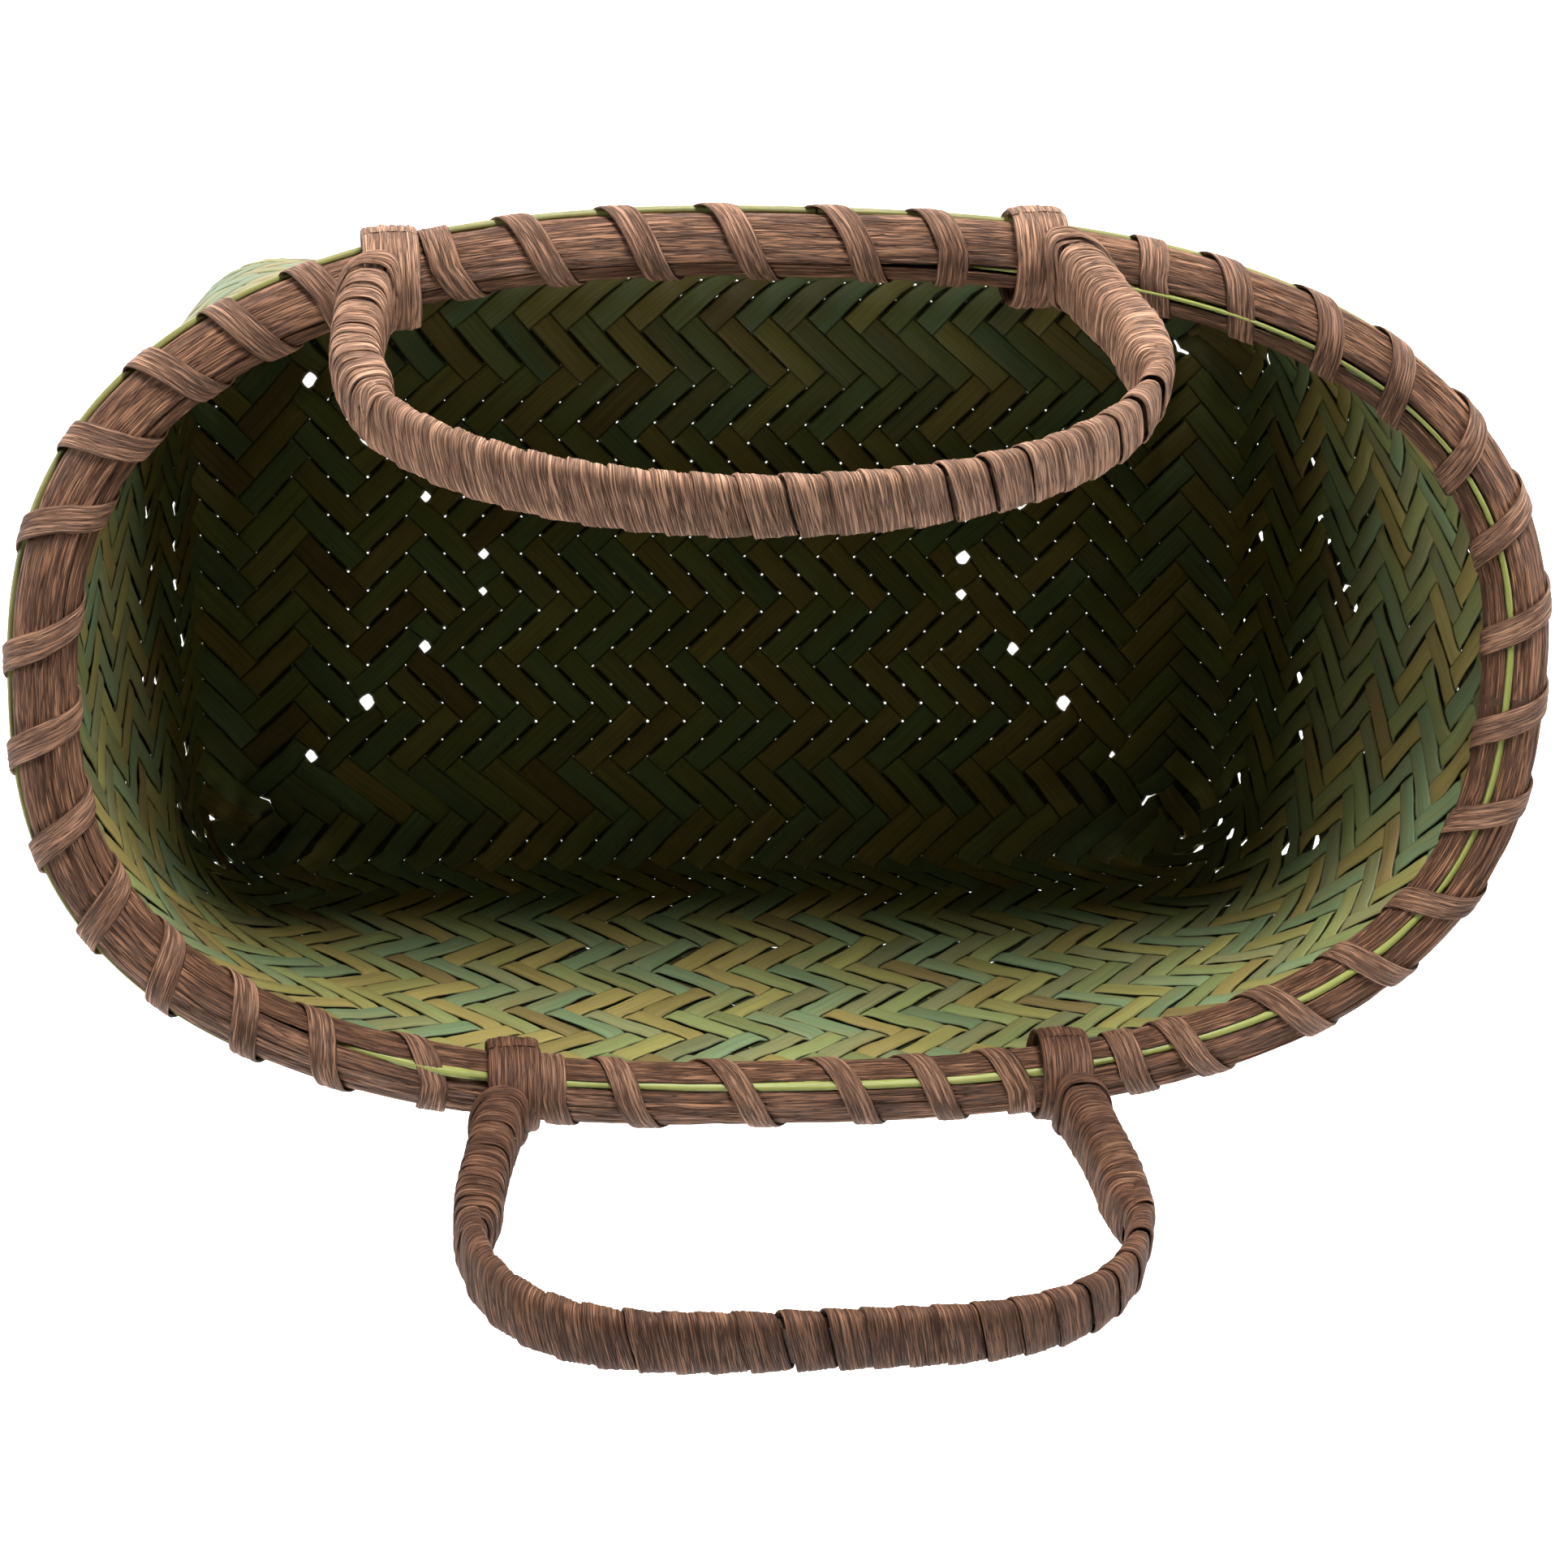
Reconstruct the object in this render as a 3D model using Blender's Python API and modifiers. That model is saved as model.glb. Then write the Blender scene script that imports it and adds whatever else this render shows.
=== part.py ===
"""Two-handled foraging basket of flat woven splints.

The basket stands on its flat bottom, which lies in the plane z = 0, with the
origin at the middle of the bottom. +X runs along the basket and +Y points to
the side whose handle leans in over the opening. All lengths are in metres.
"""
import math

import bmesh
import bpy
from mathutils import Matrix, Vector

# Basket body
BASE_LENGTH = 0.316
BASE_WIDTH = 0.182
BASE_CORNER_RADIUS = 0.028
FOLD_RADIUS = 0.011
WALL_THICKNESS = 0.0022
WALL_BELLY = 0.0025
LONG_SIDE_STEPS = 6
CORNER_STEPS = 4
SHORT_SIDE_STEPS = 4
FOLD_STEPS = 2
WALL_STEPS = 3

# Rim line: the middle of the rim's oval section
RIM_LENGTH = 0.3884
RIM_WIDTH = 0.2370
RIM_HEIGHT = 0.1520
RIM_SAG = 0.0050
OVAL_POWER = 2.55

# Rim section, measured from its middle: "out" is away from the opening
RIM_HALF_WIDTH = 0.0082
RIM_HALF_HEIGHT = 0.0072
INNER_HOOP_WIDTH = 0.0043
BAND_THICKNESS = 0.0012
BAND_HEIGHT = 0.0070
BAND_EDGE_SHARE = 0.60
SHEATH_THICKNESS = 0.0009
SHEATH_SLIT = 0.0030
HOOP_TIP_HALF_HEIGHT = 0.0020
FIT_GAP = 0.0003
WALL_TOP_SHARE = 0.35
FILLER_TOP_SHARE = 0.88
WALL_NECK_DROP = 0.0145

# Lashing: one flat strip wound round the whole rim between the handle loops
LASHING_WIDTH = 0.0076
LASHING_THICKNESS = 0.0008
LASHING_GAP = 0.0007
LASHING_POINTS = 10
LASHING_START_SPACE = 0.0120
LASHING_END_SPACE = 0.0160
LASHING_TURNS = {"right": 14, "back": 6, "left": 13, "front": 6}
SLOT_CLEARANCE = 0.0006

# Handles: a flat cane bent into a bow, its ends turned back up the legs
CANE_WIDTH = 0.0124
CANE_THICKNESS = 0.0034
TURNED_BACK_LENGTH = 0.050
CANE_CHAMFER = 0.0009
TURNED_BACK_TAPER = 0.0016
CANE_STEPS = 44
FOOT_START_SHARE = 0.6
WRAP_GAP = 0.0008
WRAP_THICKNESS = 0.0009
WRAP_SPACE = 0.0010
GRIP_WRAP_WIDTH = 0.0140
LEG_WRAP_WIDTH = 0.0080

# Loops that hold the handle feet round the rim
LOOP_BORE_RADIUS = 0.0107
LOOP_THICKNESS = 0.0022
LOOP_WIDTH = 0.0130
LOOP_CHAMFER = 0.0006
LOOP_STEPS = 28
COLLAR_HEIGHT = 0.0050
COLLAR_THICKNESS = 0.0013

# Bows: how far the left foot, the middle of the grip and the right foot stand
# from the basket's middle, greatest half width, height above the hinge line,
# roundness (2 is an ellipse) and lean at rest
BACK_BOW = {"left_foot": 0.1030, "grip_to_left": 0.0165, "right_foot": 0.0540,
            "spread": 0.1130, "height": 0.1030, "power": 2.15, "lean_deg": 24.5}
FRONT_BOW = {"left_foot": 0.0715, "grip_to_left": 0.0040, "right_foot": 0.0735,
             "spread": 0.0890, "height": 0.1000, "power": 3.8, "lean_deg": 16.5}

# Finish of each material: colour, roughness
FINISHES = {
    "splint_green": ((0.20, 0.24, 0.10), 0.62),
    "cane_olive": ((0.34, 0.36, 0.12), 0.50),
    "bast_brown": ((0.34, 0.21, 0.14), 0.70),
    "cane_core": ((0.55, 0.42, 0.26), 0.65),
}


def clear_scene():
    """Start from an empty scene."""
    for obj in list(bpy.data.objects):
        bpy.data.objects.remove(obj, do_unlink=True)


def make_collection(name):
    collection = bpy.data.collections.new(name)
    bpy.context.scene.collection.children.link(collection)
    return collection


def make_finish(name):
    """Principled material for one finish of the basket."""
    colour, roughness = FINISHES[name]
    material = bpy.data.materials.new(name)
    material.use_nodes = True
    shader = material.node_tree.nodes["Principled BSDF"]
    shader.inputs["Base Color"].default_value = (*colour, 1.0)
    shader.inputs["Roughness"].default_value = roughness
    shader.inputs["Metallic"].default_value = 0.0
    material.diffuse_color = (*colour, 1.0)
    return material


def add_object(name, mesh, finish, collection, parent=None, smooth_deg=40.0):
    """Link a mesh as one named piece of the basket."""
    obj = bpy.data.objects.new(name, mesh)
    collection.objects.link(obj)
    mesh.materials.clear()
    mesh.materials.append(finish)
    mesh.shade_smooth()
    mesh.set_sharp_from_angle(angle=math.radians(smooth_deg))
    if parent is not None:
        obj.parent = parent
    return obj


def signed_power(value, power):
    return math.copysign(abs(value) ** power, value)


# The two outlines that the wall joins: a rounded rectangle and an oval

def base_outline_lengths():
    """Lengths of the straight and round stretches of a quarter of the base."""
    return (BASE_WIDTH / 2 - BASE_CORNER_RADIUS,
            math.pi / 2 * BASE_CORNER_RADIUS,
            BASE_LENGTH / 2 - BASE_CORNER_RADIUS)


def quarter_stations():
    """Shares of a quarter turn, from the +X end to the +Y side."""
    side, corner, long_side = base_outline_lengths()
    total = side + corner + long_side
    stations = [side * i / SHORT_SIDE_STEPS for i in range(SHORT_SIDE_STEPS)]
    stations += [side + corner * i / CORNER_STEPS for i in range(CORNER_STEPS)]
    stations += [side + corner + long_side * i / LONG_SIDE_STEPS
                 for i in range(LONG_SIDE_STEPS)]
    return [station / total for station in stations]


def all_stations():
    """Stations of the whole outline; the unit is one quarter turn."""
    quarter = quarter_stations()
    stations = []
    for turn in range(4):
        if turn % 2 == 0:
            stations += [turn + share for share in quarter]
        else:
            stations += [turn] + [turn + 1 - share for share in reversed(quarter[1:])]
    return stations


def mirrored(turns, quarter_point):
    """Point of a symmetric outline from the point on its first quarter."""
    turn = int(turns) % 4
    share = turns - int(turns)
    if turn % 2 == 1:
        share = 1.0 - share
    x, y = quarter_point(share)
    return (x if turn in (0, 3) else -x), (y if turn in (0, 1) else -y)


def base_quarter_point(share):
    side, corner, long_side = base_outline_lengths()
    run = share * (side + corner + long_side)
    half_length, half_width = BASE_LENGTH / 2, BASE_WIDTH / 2
    if run <= side:
        return half_length, run
    if run <= side + corner:
        angle = (run - side) / BASE_CORNER_RADIUS
        return (half_length - BASE_CORNER_RADIUS * (1 - math.cos(angle)),
                side + BASE_CORNER_RADIUS * math.sin(angle))
    return half_length - BASE_CORNER_RADIUS - (run - side - corner), half_width


class Oval:
    """Rim line, measured along its own length."""

    def __init__(self, half_length, half_width, samples=2000):
        self.half_length = half_length
        self.half_width = half_width
        self.points = []
        for i in range(samples + 1):
            angle = math.pi / 2 * i / samples
            self.points.append((half_length * math.cos(angle) ** (2 / OVAL_POWER),
                                half_width * math.sin(angle) ** (2 / OVAL_POWER)))
        self.runs = [0.0]
        for (x0, y0), (x1, y1) in zip(self.points, self.points[1:]):
            self.runs.append(self.runs[-1] + math.hypot(x1 - x0, y1 - y0))
        self.quarter_length = self.runs[-1]

    def quarter_point(self, share):
        run = share * self.quarter_length
        low, high = 0, len(self.runs) - 1
        while high - low > 1:
            middle = (low + high) // 2
            if self.runs[middle] <= run:
                low = middle
            else:
                high = middle
        step = (run - self.runs[low]) / (self.runs[high] - self.runs[low])
        (x0, y0), (x1, y1) = self.points[low], self.points[high]
        return x0 + (x1 - x0) * step, y0 + (y1 - y0) * step

    def outward(self, x, y):
        gradient = Vector((signed_power(x / self.half_length, OVAL_POWER - 1) / self.half_length,
                           signed_power(y / self.half_width, OVAL_POWER - 1) / self.half_width,
                           0.0))
        return gradient.normalized()


class Rim:
    """Sections of the rim at each station, joined by straight stretches."""

    def __init__(self):
        self.oval = Oval(RIM_LENGTH / 2 - RIM_HALF_WIDTH, RIM_WIDTH / 2 - RIM_HALF_WIDTH)
        self.stations = all_stations()
        self.centres = []
        self.outwards = []
        for station in self.stations:
            x, y = mirrored(station, self.oval.quarter_point)
            along = (x / self.oval.half_length) ** 2
            across = (y / self.oval.half_width) ** 2
            rise = RIM_SAG * (along - across) / (along + across)
            self.centres.append(Vector((x, y, RIM_HEIGHT + rise)))
            self.outwards.append(self.oval.outward(x, y))
        self.runs = [0.0]
        for i, centre in enumerate(self.centres):
            following = self.centres[(i + 1) % len(self.centres)]
            self.runs.append(self.runs[-1] + (following - centre).length)
        self.length = self.runs[-1]

    def corner(self, i, out, up):
        i %= len(self.centres)
        return self.centres[i] + self.outwards[i] * out + Vector((0, 0, up))

    def point(self, run, out, up):
        """Point of the rim: length along it, distance outward, and height."""
        run %= self.length
        i = max(k for k, start in enumerate(self.runs[:-1]) if start <= run)
        share = (run - self.runs[i]) / (self.runs[i + 1] - self.runs[i])
        return self.corner(i, out, up).lerp(self.corner(i + 1, out, up), share)

    def run_at(self, x, side):
        """Length along the rim where it passes x on the back or front side."""
        for i, start in enumerate(self.centres):
            end = self.corner(i + 1, 0, 0)
            if start.y * side < 0 or end.y * side < 0 or start.x == end.x:
                continue
            share = (x - start.x) / (end.x - start.x)
            if 0 <= share <= 1:
                return self.runs[i] + share * (self.runs[i + 1] - self.runs[i])
        raise ValueError("the rim does not pass this place")


RIM = Rim()
OUTER_HOOP_START = -RIM_HALF_WIDTH + INNER_HOOP_WIDTH + 2 * FIT_GAP + WALL_THICKNESS
OUTER_HOOP_END = RIM_HALF_WIDTH - BAND_THICKNESS - FIT_GAP
INNER_HOOP_END = -RIM_HALF_WIDTH + INNER_HOOP_WIDTH
WALL_OUT = INNER_HOOP_END + FIT_GAP + WALL_THICKNESS / 2


def rim_half_height(out):
    """Half the height of the rim's oval section at a distance from its middle."""
    share = min(abs(out) / RIM_HALF_WIDTH, 1.0)
    return RIM_HALF_HEIGHT * math.sqrt(1.0 - share * share)


# Mesh builders

def loft_mesh(name, sections, closed_path, caps=("first", "last")):
    """Skin closed rings of points that all have the same count."""
    mesh = bpy.data.meshes.new(name)
    bm = bmesh.new()
    rings = [[bm.verts.new(point) for point in section] for section in sections]
    count = len(rings[0])
    spans = len(rings) if closed_path else len(rings) - 1
    for i in range(spans):
        ring, following = rings[i], rings[(i + 1) % len(rings)]
        for k in range(count):
            after = (k + 1) % count
            bm.faces.new((ring[k], ring[after], following[after], following[k]))
    if not closed_path and "first" in caps:
        bm.faces.new(list(reversed(rings[0])))
    if not closed_path and "last" in caps:
        bm.faces.new(rings[-1])
    bmesh.ops.recalc_face_normals(bm, faces=bm.faces)
    bm.to_mesh(mesh)
    bm.free()
    return mesh


def hoop_mesh(name, section):
    """Closed hoop: one section of (out, up) points carried round the rim."""
    rings = [[RIM.corner(i, out, up) for out, up in section]
             for i in range(len(RIM.centres))]
    return loft_mesh(name, rings, closed_path=True)


def join_objects(target, others, operation, solver="EXACT"):
    """Boolean modifiers that add to or cut from the target, in order."""
    for other in others:
        modifier = target.modifiers.new(other.name, "BOOLEAN")
        modifier.operation = operation
        modifier.solver = solver
        modifier.object = other


def make_cutter(obj):
    obj.hide_render = True
    obj.display_type = "WIRE"
    return obj


def box_cutter(name, size, frame, collection):
    """Box cutter of a given size, centred on a frame."""
    mesh = bpy.data.meshes.new(name)
    bm = bmesh.new()
    bmesh.ops.create_cube(bm, size=1.0, matrix=Matrix.Diagonal((*size, 1.0)))
    bm.to_mesh(mesh)
    bm.free()
    obj = bpy.data.objects.new(name, mesh)
    collection.objects.link(obj)
    obj.matrix_world = frame
    return make_cutter(obj)


# Rim pieces

def hoop_outline(inner, outer, inset):
    """Slice of the rim's oval between two distances, drawn in by an inset."""
    low, high = inner + inset, outer - inset
    outline = []
    for out in (low, (low + high) / 2, high):
        outline.append((out, max(rim_half_height(out), HOOP_TIP_HALF_HEIGHT) - inset))
    return outline + [(out, -up) for out, up in reversed(outline)]


def sheath_outline(inner, outer, open_outward):
    """Paper-thin cover folded round a hoop, open in a slit on one flat side."""
    outside = hoop_outline(inner, outer, 0.0)
    inside = hoop_outline(inner, outer, SHEATH_THICKNESS)
    half = len(outside) // 2
    if open_outward:
        outside = outside[half:] + outside[:half]
        inside = inside[half:] + inside[:half]
        edge, inset_edge = outer, outer - SHEATH_THICKNESS
        first = -1.0
    else:
        edge, inset_edge = inner, inner + SHEATH_THICKNESS
        first = 1.0
    lip = SHEATH_SLIT / 2
    start = [(edge, first * lip)]
    end = [(edge, -first * lip)]
    back_start = [(inset_edge, -first * lip)]
    back_end = [(inset_edge, first * lip)]
    return start + outside + end + back_start + list(reversed(inside)) + back_end


def build_hoops(finishes, collection):
    """Cores, covers, filler and outer band of the rim."""
    inset = SHEATH_THICKNESS + 2 * FIT_GAP
    hoops = (("rim_inner", -RIM_HALF_WIDTH, INNER_HOOP_END, True),
             ("rim_outer", OUTER_HOOP_START, OUTER_HOOP_END, False))
    for name, inner, outer, open_outward in hoops:
        core = hoop_mesh(name + "_core", hoop_outline(inner, outer, inset))
        add_object(name + "_core", core, finishes["cane_core"], collection)
        cover = hoop_mesh(name + "_sheath", sheath_outline(inner, outer, open_outward))
        add_object(name + "_sheath", cover, finishes["bast_brown"], collection)
    wall_top = RIM_HALF_HEIGHT * WALL_TOP_SHARE
    filler = plain_section(WALL_OUT, WALL_THICKNESS, wall_top + FIT_GAP,
                           RIM_HALF_HEIGHT * FILLER_TOP_SHARE)
    add_object("rim_filler_strip", hoop_mesh("rim_filler_strip", filler),
               finishes["cane_olive"], collection)
    half, edge = BAND_HEIGHT / 2, BAND_HEIGHT / 2 * BAND_EDGE_SHARE
    inside = RIM_HALF_WIDTH - BAND_THICKNESS
    band = [(inside, -half), (inside, half), (RIM_HALF_WIDTH, edge), (RIM_HALF_WIDTH, -edge)]
    add_object("rim_outer_band", hoop_mesh("rim_outer_band", band),
               finishes["cane_olive"], collection)


def plain_section(middle, thickness, low, high):
    half = thickness / 2
    return [(middle - half, low), (middle - half, high),
            (middle + half, high), (middle + half, low)]


# Flat strips wound round the rim and the handles

def wound_strip(place, inner, outer, width, start, end, turns):
    """Sections of a flat strip wound round an outline while it moves along.

    place(run, a, b) is a point of the piece that is wrapped; inner and outer
    are the outlines of the strip's two faces. The width is measured along the
    piece, and each face has a row of points along its middle as well.
    """
    points = len(inner)
    count = turns * points
    half = width / 2
    sections = []
    for i in range(count + 1):
        run = start + (end - start) * i / count
        low, high = inner[i % points], outer[i % points]
        sections.append([place(run - half, *low), place(run, *low), place(run + half, *low),
                         place(run + half, *high), place(run, *high), place(run - half, *high)])
    return sections


def gap_to_edge(point, start, end):
    """Distance from a point to the straight edge between two others."""
    span = end - start
    share = (point - start).dot(span) / span.length_squared
    return (point - start - span * max(0.0, min(1.0, share))).length


def least_gap(sections, points_per_turn):
    """Least distance between the facing edges of neighbouring turns."""
    gaps = []
    for i, section in enumerate(sections):
        first = i + points_per_turn // 2
        for k in range(first, min(len(sections) - 1, i + 2 * points_per_turn)):
            for near, far in ((2, 0), (0, 2)):
                gaps.append(gap_to_edge(section[near], sections[k][far], sections[k + 1][far]))
    return min(gaps)


def add_strip(name, sections, points_per_turn, finish, collection, parent=None):
    """One wound strip as a piece, with its least gap to itself printed."""
    gap = least_gap(sections, points_per_turn)
    print(name, "least gap between turns:", round(gap * 1000, 2), "mm")
    mesh = loft_mesh(name, sections, closed_path=False)
    return add_object(name, mesh, finish, collection, parent)


def lashing_outline(clearance):
    """Points round the rim's oval section that stay outside it.

    They start under the rim and come up on the inside.
    """
    spread = 1 / math.cos(math.pi / LASHING_POINTS)
    outline = []
    for i in range(LASHING_POINTS):
        angle = -2 * math.pi * (i + 2) / LASHING_POINTS
        outline.append(((RIM_HALF_WIDTH + clearance) * spread * math.cos(angle),
                        (RIM_HALF_HEIGHT + clearance) * spread * math.sin(angle)))
    return outline


def wall_crossing(outline):
    """Where an outline passes under the rim through the wall: turn share, height."""
    count = len(outline)
    for i, (out, up) in enumerate(outline):
        next_out, next_up = outline[(i + 1) % count]
        if up < 0 and next_up < 0 and (out - WALL_OUT) * (next_out - WALL_OUT) <= 0:
            share = (WALL_OUT - out) / (next_out - out)
            return (i + share) / count, up + (next_up - up) * share
    raise ValueError("the outline does not pass the wall")


def build_lashings(loop_runs, finishes, collection, cutters):
    """Lashing strips between the handle loops, and the slots they pass in."""
    starts = sorted(loop_runs)
    inner = lashing_outline(LASHING_GAP)
    outer = lashing_outline(LASHING_GAP + LASHING_THICKNESS)
    share, height = wall_crossing(lashing_outline(LASHING_GAP + LASHING_THICKNESS / 2))
    slots = []
    for i, (side, turns) in enumerate(LASHING_TURNS.items()):
        name = "rim_lashing_" + side
        start = (starts[i - 1] if i else starts[-1] - RIM.length) + LASHING_START_SPACE
        end = starts[i] - LASHING_END_SPACE
        sections = wound_strip(RIM.point, inner, outer, LASHING_WIDTH, start, end, turns)
        add_strip(name, sections, LASHING_POINTS, finishes["bast_brown"], collection)
        for turn in range(turns):
            run = start + (end - start) * (turn + share) / turns
            pitch = (end - start) / turns
            slots.append(lashing_slot(f"{name}_slot_{turn}", run, height, pitch, cutters))
    return slots


def rim_frame(run, out, up):
    """Frame at a place on the rim: X along the rim, Y inward, Z up."""
    step = LASHING_WIDTH / 2
    along = (RIM.point(run + step, out, up) - RIM.point(run - step, out, up)).normalized()
    across = Vector((0, 0, 1)).cross(along).normalized()
    frame = Matrix((along, across, along.cross(across))).transposed().to_4x4()
    frame.translation = RIM.point(run, out, up)
    return frame


def lashing_slot(name, run, height, pitch, cutters):
    """Slot in the wall for one turn of the lashing."""
    slant = pitch * WALL_THICKNESS / RIM_HALF_WIDTH / 2
    size = (LASHING_WIDTH + slant + 2 * SLOT_CLEARANCE, 2 * WALL_THICKNESS,
            LASHING_THICKNESS + 2 * SLOT_CLEARANCE)
    return box_cutter(name, size, rim_frame(run, WALL_OUT, height), cutters)


# Basket body

def wall_rings():
    """Rings of the wall's middle surface, from the rim down to the bottom."""
    rings = []
    half = WALL_THICKNESS / 2
    top = RIM_HALF_HEIGHT * WALL_TOP_SHARE
    count = len(RIM.centres)
    rings.append([RIM.corner(i, WALL_OUT, top) for i in range(count)])
    neck = [RIM.corner(i, WALL_OUT, -WALL_NECK_DROP) for i in range(count)]
    rings.append(neck)
    foot, inward = [], []
    for station in RIM.stations:
        x, y = mirrored(station, base_quarter_point)
        foot.append(Vector((x, y, FOLD_RADIUS + half)))
        inward.append(base_inward(x, y))
    for step in range(1, WALL_STEPS):
        share = step / WALL_STEPS
        bulge = WALL_BELLY * math.sin(math.pi * share)
        rings.append([a.lerp(b, share) - n * bulge for a, b, n in zip(neck, foot, inward)])
    for step in range(FOLD_STEPS + 1):
        angle = math.pi / 2 * step / FOLD_STEPS
        rings.append([p + n * FOLD_RADIUS * (1 - math.cos(angle))
                      - Vector((0, 0, FOLD_RADIUS * math.sin(angle)))
                      for p, n in zip(foot, inward)])
    return rings


def base_inward(x, y):
    """Direction from the base's outline to its inside."""
    corner_x = BASE_LENGTH / 2 - BASE_CORNER_RADIUS
    corner_y = BASE_WIDTH / 2 - BASE_CORNER_RADIUS
    over_x = max(abs(x) - corner_x, 0.0)
    over_y = max(abs(y) - corner_y, 0.0)
    return -Vector((math.copysign(over_x, x), math.copysign(over_y, y), 0.0)).normalized()


def build_body(finishes, collection, slots):
    """Woven shell: wall and bottom in one, open at the top."""
    mesh = loft_mesh("woven_basket", wall_rings(), closed_path=False, caps=("last",))
    body = add_object("woven_basket", mesh, finishes["splint_green"], collection)
    shell = body.modifiers.new("wall_thickness", "SOLIDIFY")
    shell.thickness = WALL_THICKNESS
    shell.offset = 0.0
    shell.use_even_offset = True
    join_objects(body, slots, "DIFFERENCE")
    return body


# Handles

class Bow:
    """Middle line of a handle, in the plane of the bow, from foot to foot."""

    def __init__(self, bow, half_span):
        self.bow = bow
        self.half_span = half_span
        self.skew = (bow["left_foot"] - bow["right_foot"]) / 2 - bow["grip_to_left"]
        fine = [self.arch_point(math.pi * i / 720) for i in range(721)]
        low = LOOP_OUTER_RADIUS * FOOT_START_SHARE
        fine = [point for point in fine if point[1] >= low]
        runs = [0.0]
        for (x0, z0), (x1, z1) in zip(fine, fine[1:]):
            runs.append(runs[-1] + math.hypot(x1 - x0, z1 - z0))
        self.length = runs[-1]
        self.step = self.length / CANE_STEPS
        self.turned_back = self.step * round(TURNED_BACK_LENGTH / self.step)
        self.points = []
        k = 0
        for i in range(CANE_STEPS + 1):
            run = min(self.step * i, self.length)
            while k < len(runs) - 2 and runs[k + 1] < run:
                k += 1
            share = (run - runs[k]) / (runs[k + 1] - runs[k])
            (x0, z0), (x1, z1) = fine[k], fine[k + 1]
            self.points.append(Vector((x0 + (x1 - x0) * share, 0, z0 + (z1 - z0) * share)))
        self.normals = [self.mitre(i) for i in range(CANE_STEPS + 1)]

    def arch_point(self, angle):
        """Point of the bow; the first foot is at -X."""
        bow = self.bow
        x = -bow["spread"] * signed_power(math.cos(angle), 2 / bow["power"])
        share = max(math.sin(angle), 0.0) ** (2 / bow["power"])
        draw = (1 - self.half_span / bow["spread"]) * (1 - share) ** 2
        return x * (1 - draw) + self.skew * share, bow["height"] * share

    def mitre(self, i):
        """Outward direction at a joint of the line, long enough for the mitre."""
        before = self.points[max(i, 1)] - self.points[max(i, 1) - 1]
        last = min(i, CANE_STEPS - 1)
        after = self.points[last + 1] - self.points[last]
        along = (before.normalized() + after.normalized()).normalized()
        outward = Vector((-along.z, 0, along.x))
        return outward / along.dot(after.normalized())

    def place(self, run, out, across):
        """Point at a length along the bow, outward from it, and across it."""
        i = max(0, min(int(run / self.step), CANE_STEPS - 1))
        share = run / self.step - i
        start = self.points[i] + self.normals[i] * out
        end = self.points[i + 1] + self.normals[i + 1] * out
        return start.lerp(end, share) + Vector((0, across, 0))


LOOP_OUTER_RADIUS = LOOP_BORE_RADIUS + LOOP_THICKNESS


def cane_outline(layers, clearance):
    """Cane section with chamfered corners, of one or two layers, grown outward.

    The second layer lies on the inner side of the bow.
    """
    outer = CANE_THICKNESS / 2 + clearance
    inner = CANE_THICKNESS * (layers - 0.5) + clearance
    half = CANE_WIDTH / 2 + clearance
    cut = CANE_CHAMFER + clearance / 2
    return [(outer, cut - half), (outer, half - cut), (outer - cut, half), (cut - inner, half),
            (-inner, half - cut), (-inner, cut - half), (cut - inner, -half), (outer - cut, -half)]


def hinge_frame(loop_runs):
    """Frame of a handle's hinge: X from the left foot to the right one."""
    left, right = (RIM.point(run, 0, 0) for run in loop_runs)
    along = (right - left).normalized()
    back = Vector((0, 0, 1)).cross(along).normalized()
    frame = Matrix((along, back, along.cross(back))).transposed().to_4x4()
    frame.translation = (left + right) / 2
    return frame


def foot_positions(loop_runs):
    left, right = (RIM.point(run, 0, 0) for run in loop_runs)
    half = (right - left).length / 2
    return -half, half


def add_hinge(name, frame, lean_deg, collection):
    """Empty on the hinge line, turned to the handle's lean."""
    hinge = bpy.data.objects.new(name, None)
    collection.objects.link(hinge)
    hinge.matrix_world = frame @ Matrix.Rotation(math.radians(lean_deg), 4, "X")
    return hinge


def build_cane(name, line, finish, collection, hinge):
    """Flat cane bow, twice as thick where its ends are turned back up the legs."""
    single, double = cane_outline(1, 0.0), cane_outline(2, 0.0)
    thin_start = line.turned_back + TURNED_BACK_TAPER
    steps = round(line.turned_back / line.step)
    thick = [line.step * i for i in range(steps + 1)]
    thin = [line.step * i for i in range(steps + 1, CANE_STEPS - steps)]
    thin = [thin_start] + thin + [line.length - thin_start]
    sections = [[line.place(run, *corner) for corner in double] for run in thick]
    sections += [[line.place(run, *corner) for corner in single] for run in thin]
    sections += [[line.place(line.length - run, *corner) for corner in double]
                 for run in reversed(thick)]
    return add_object(name, loft_mesh(name, sections, closed_path=False), finish,
                      collection, hinge)


def foot_cutter(name, x, cutters, hinge):
    """Cylinder that hollows a foot to seat on its loop."""
    mesh = bpy.data.meshes.new(name)
    bm = bmesh.new()
    radius = LOOP_OUTER_RADIUS + FIT_GAP
    bmesh.ops.create_cone(bm, cap_ends=True, segments=2 * LOOP_STEPS, radius1=radius,
                          radius2=radius, depth=2 * CANE_WIDTH,
                          matrix=Matrix.Rotation(math.pi / 2, 4, "Y"))
    bm.to_mesh(mesh)
    bm.free()
    obj = bpy.data.objects.new(name, mesh)
    cutters.objects.link(obj)
    obj.parent = hinge
    obj.location = (x, 0, 0)
    return make_cutter(obj)


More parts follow.
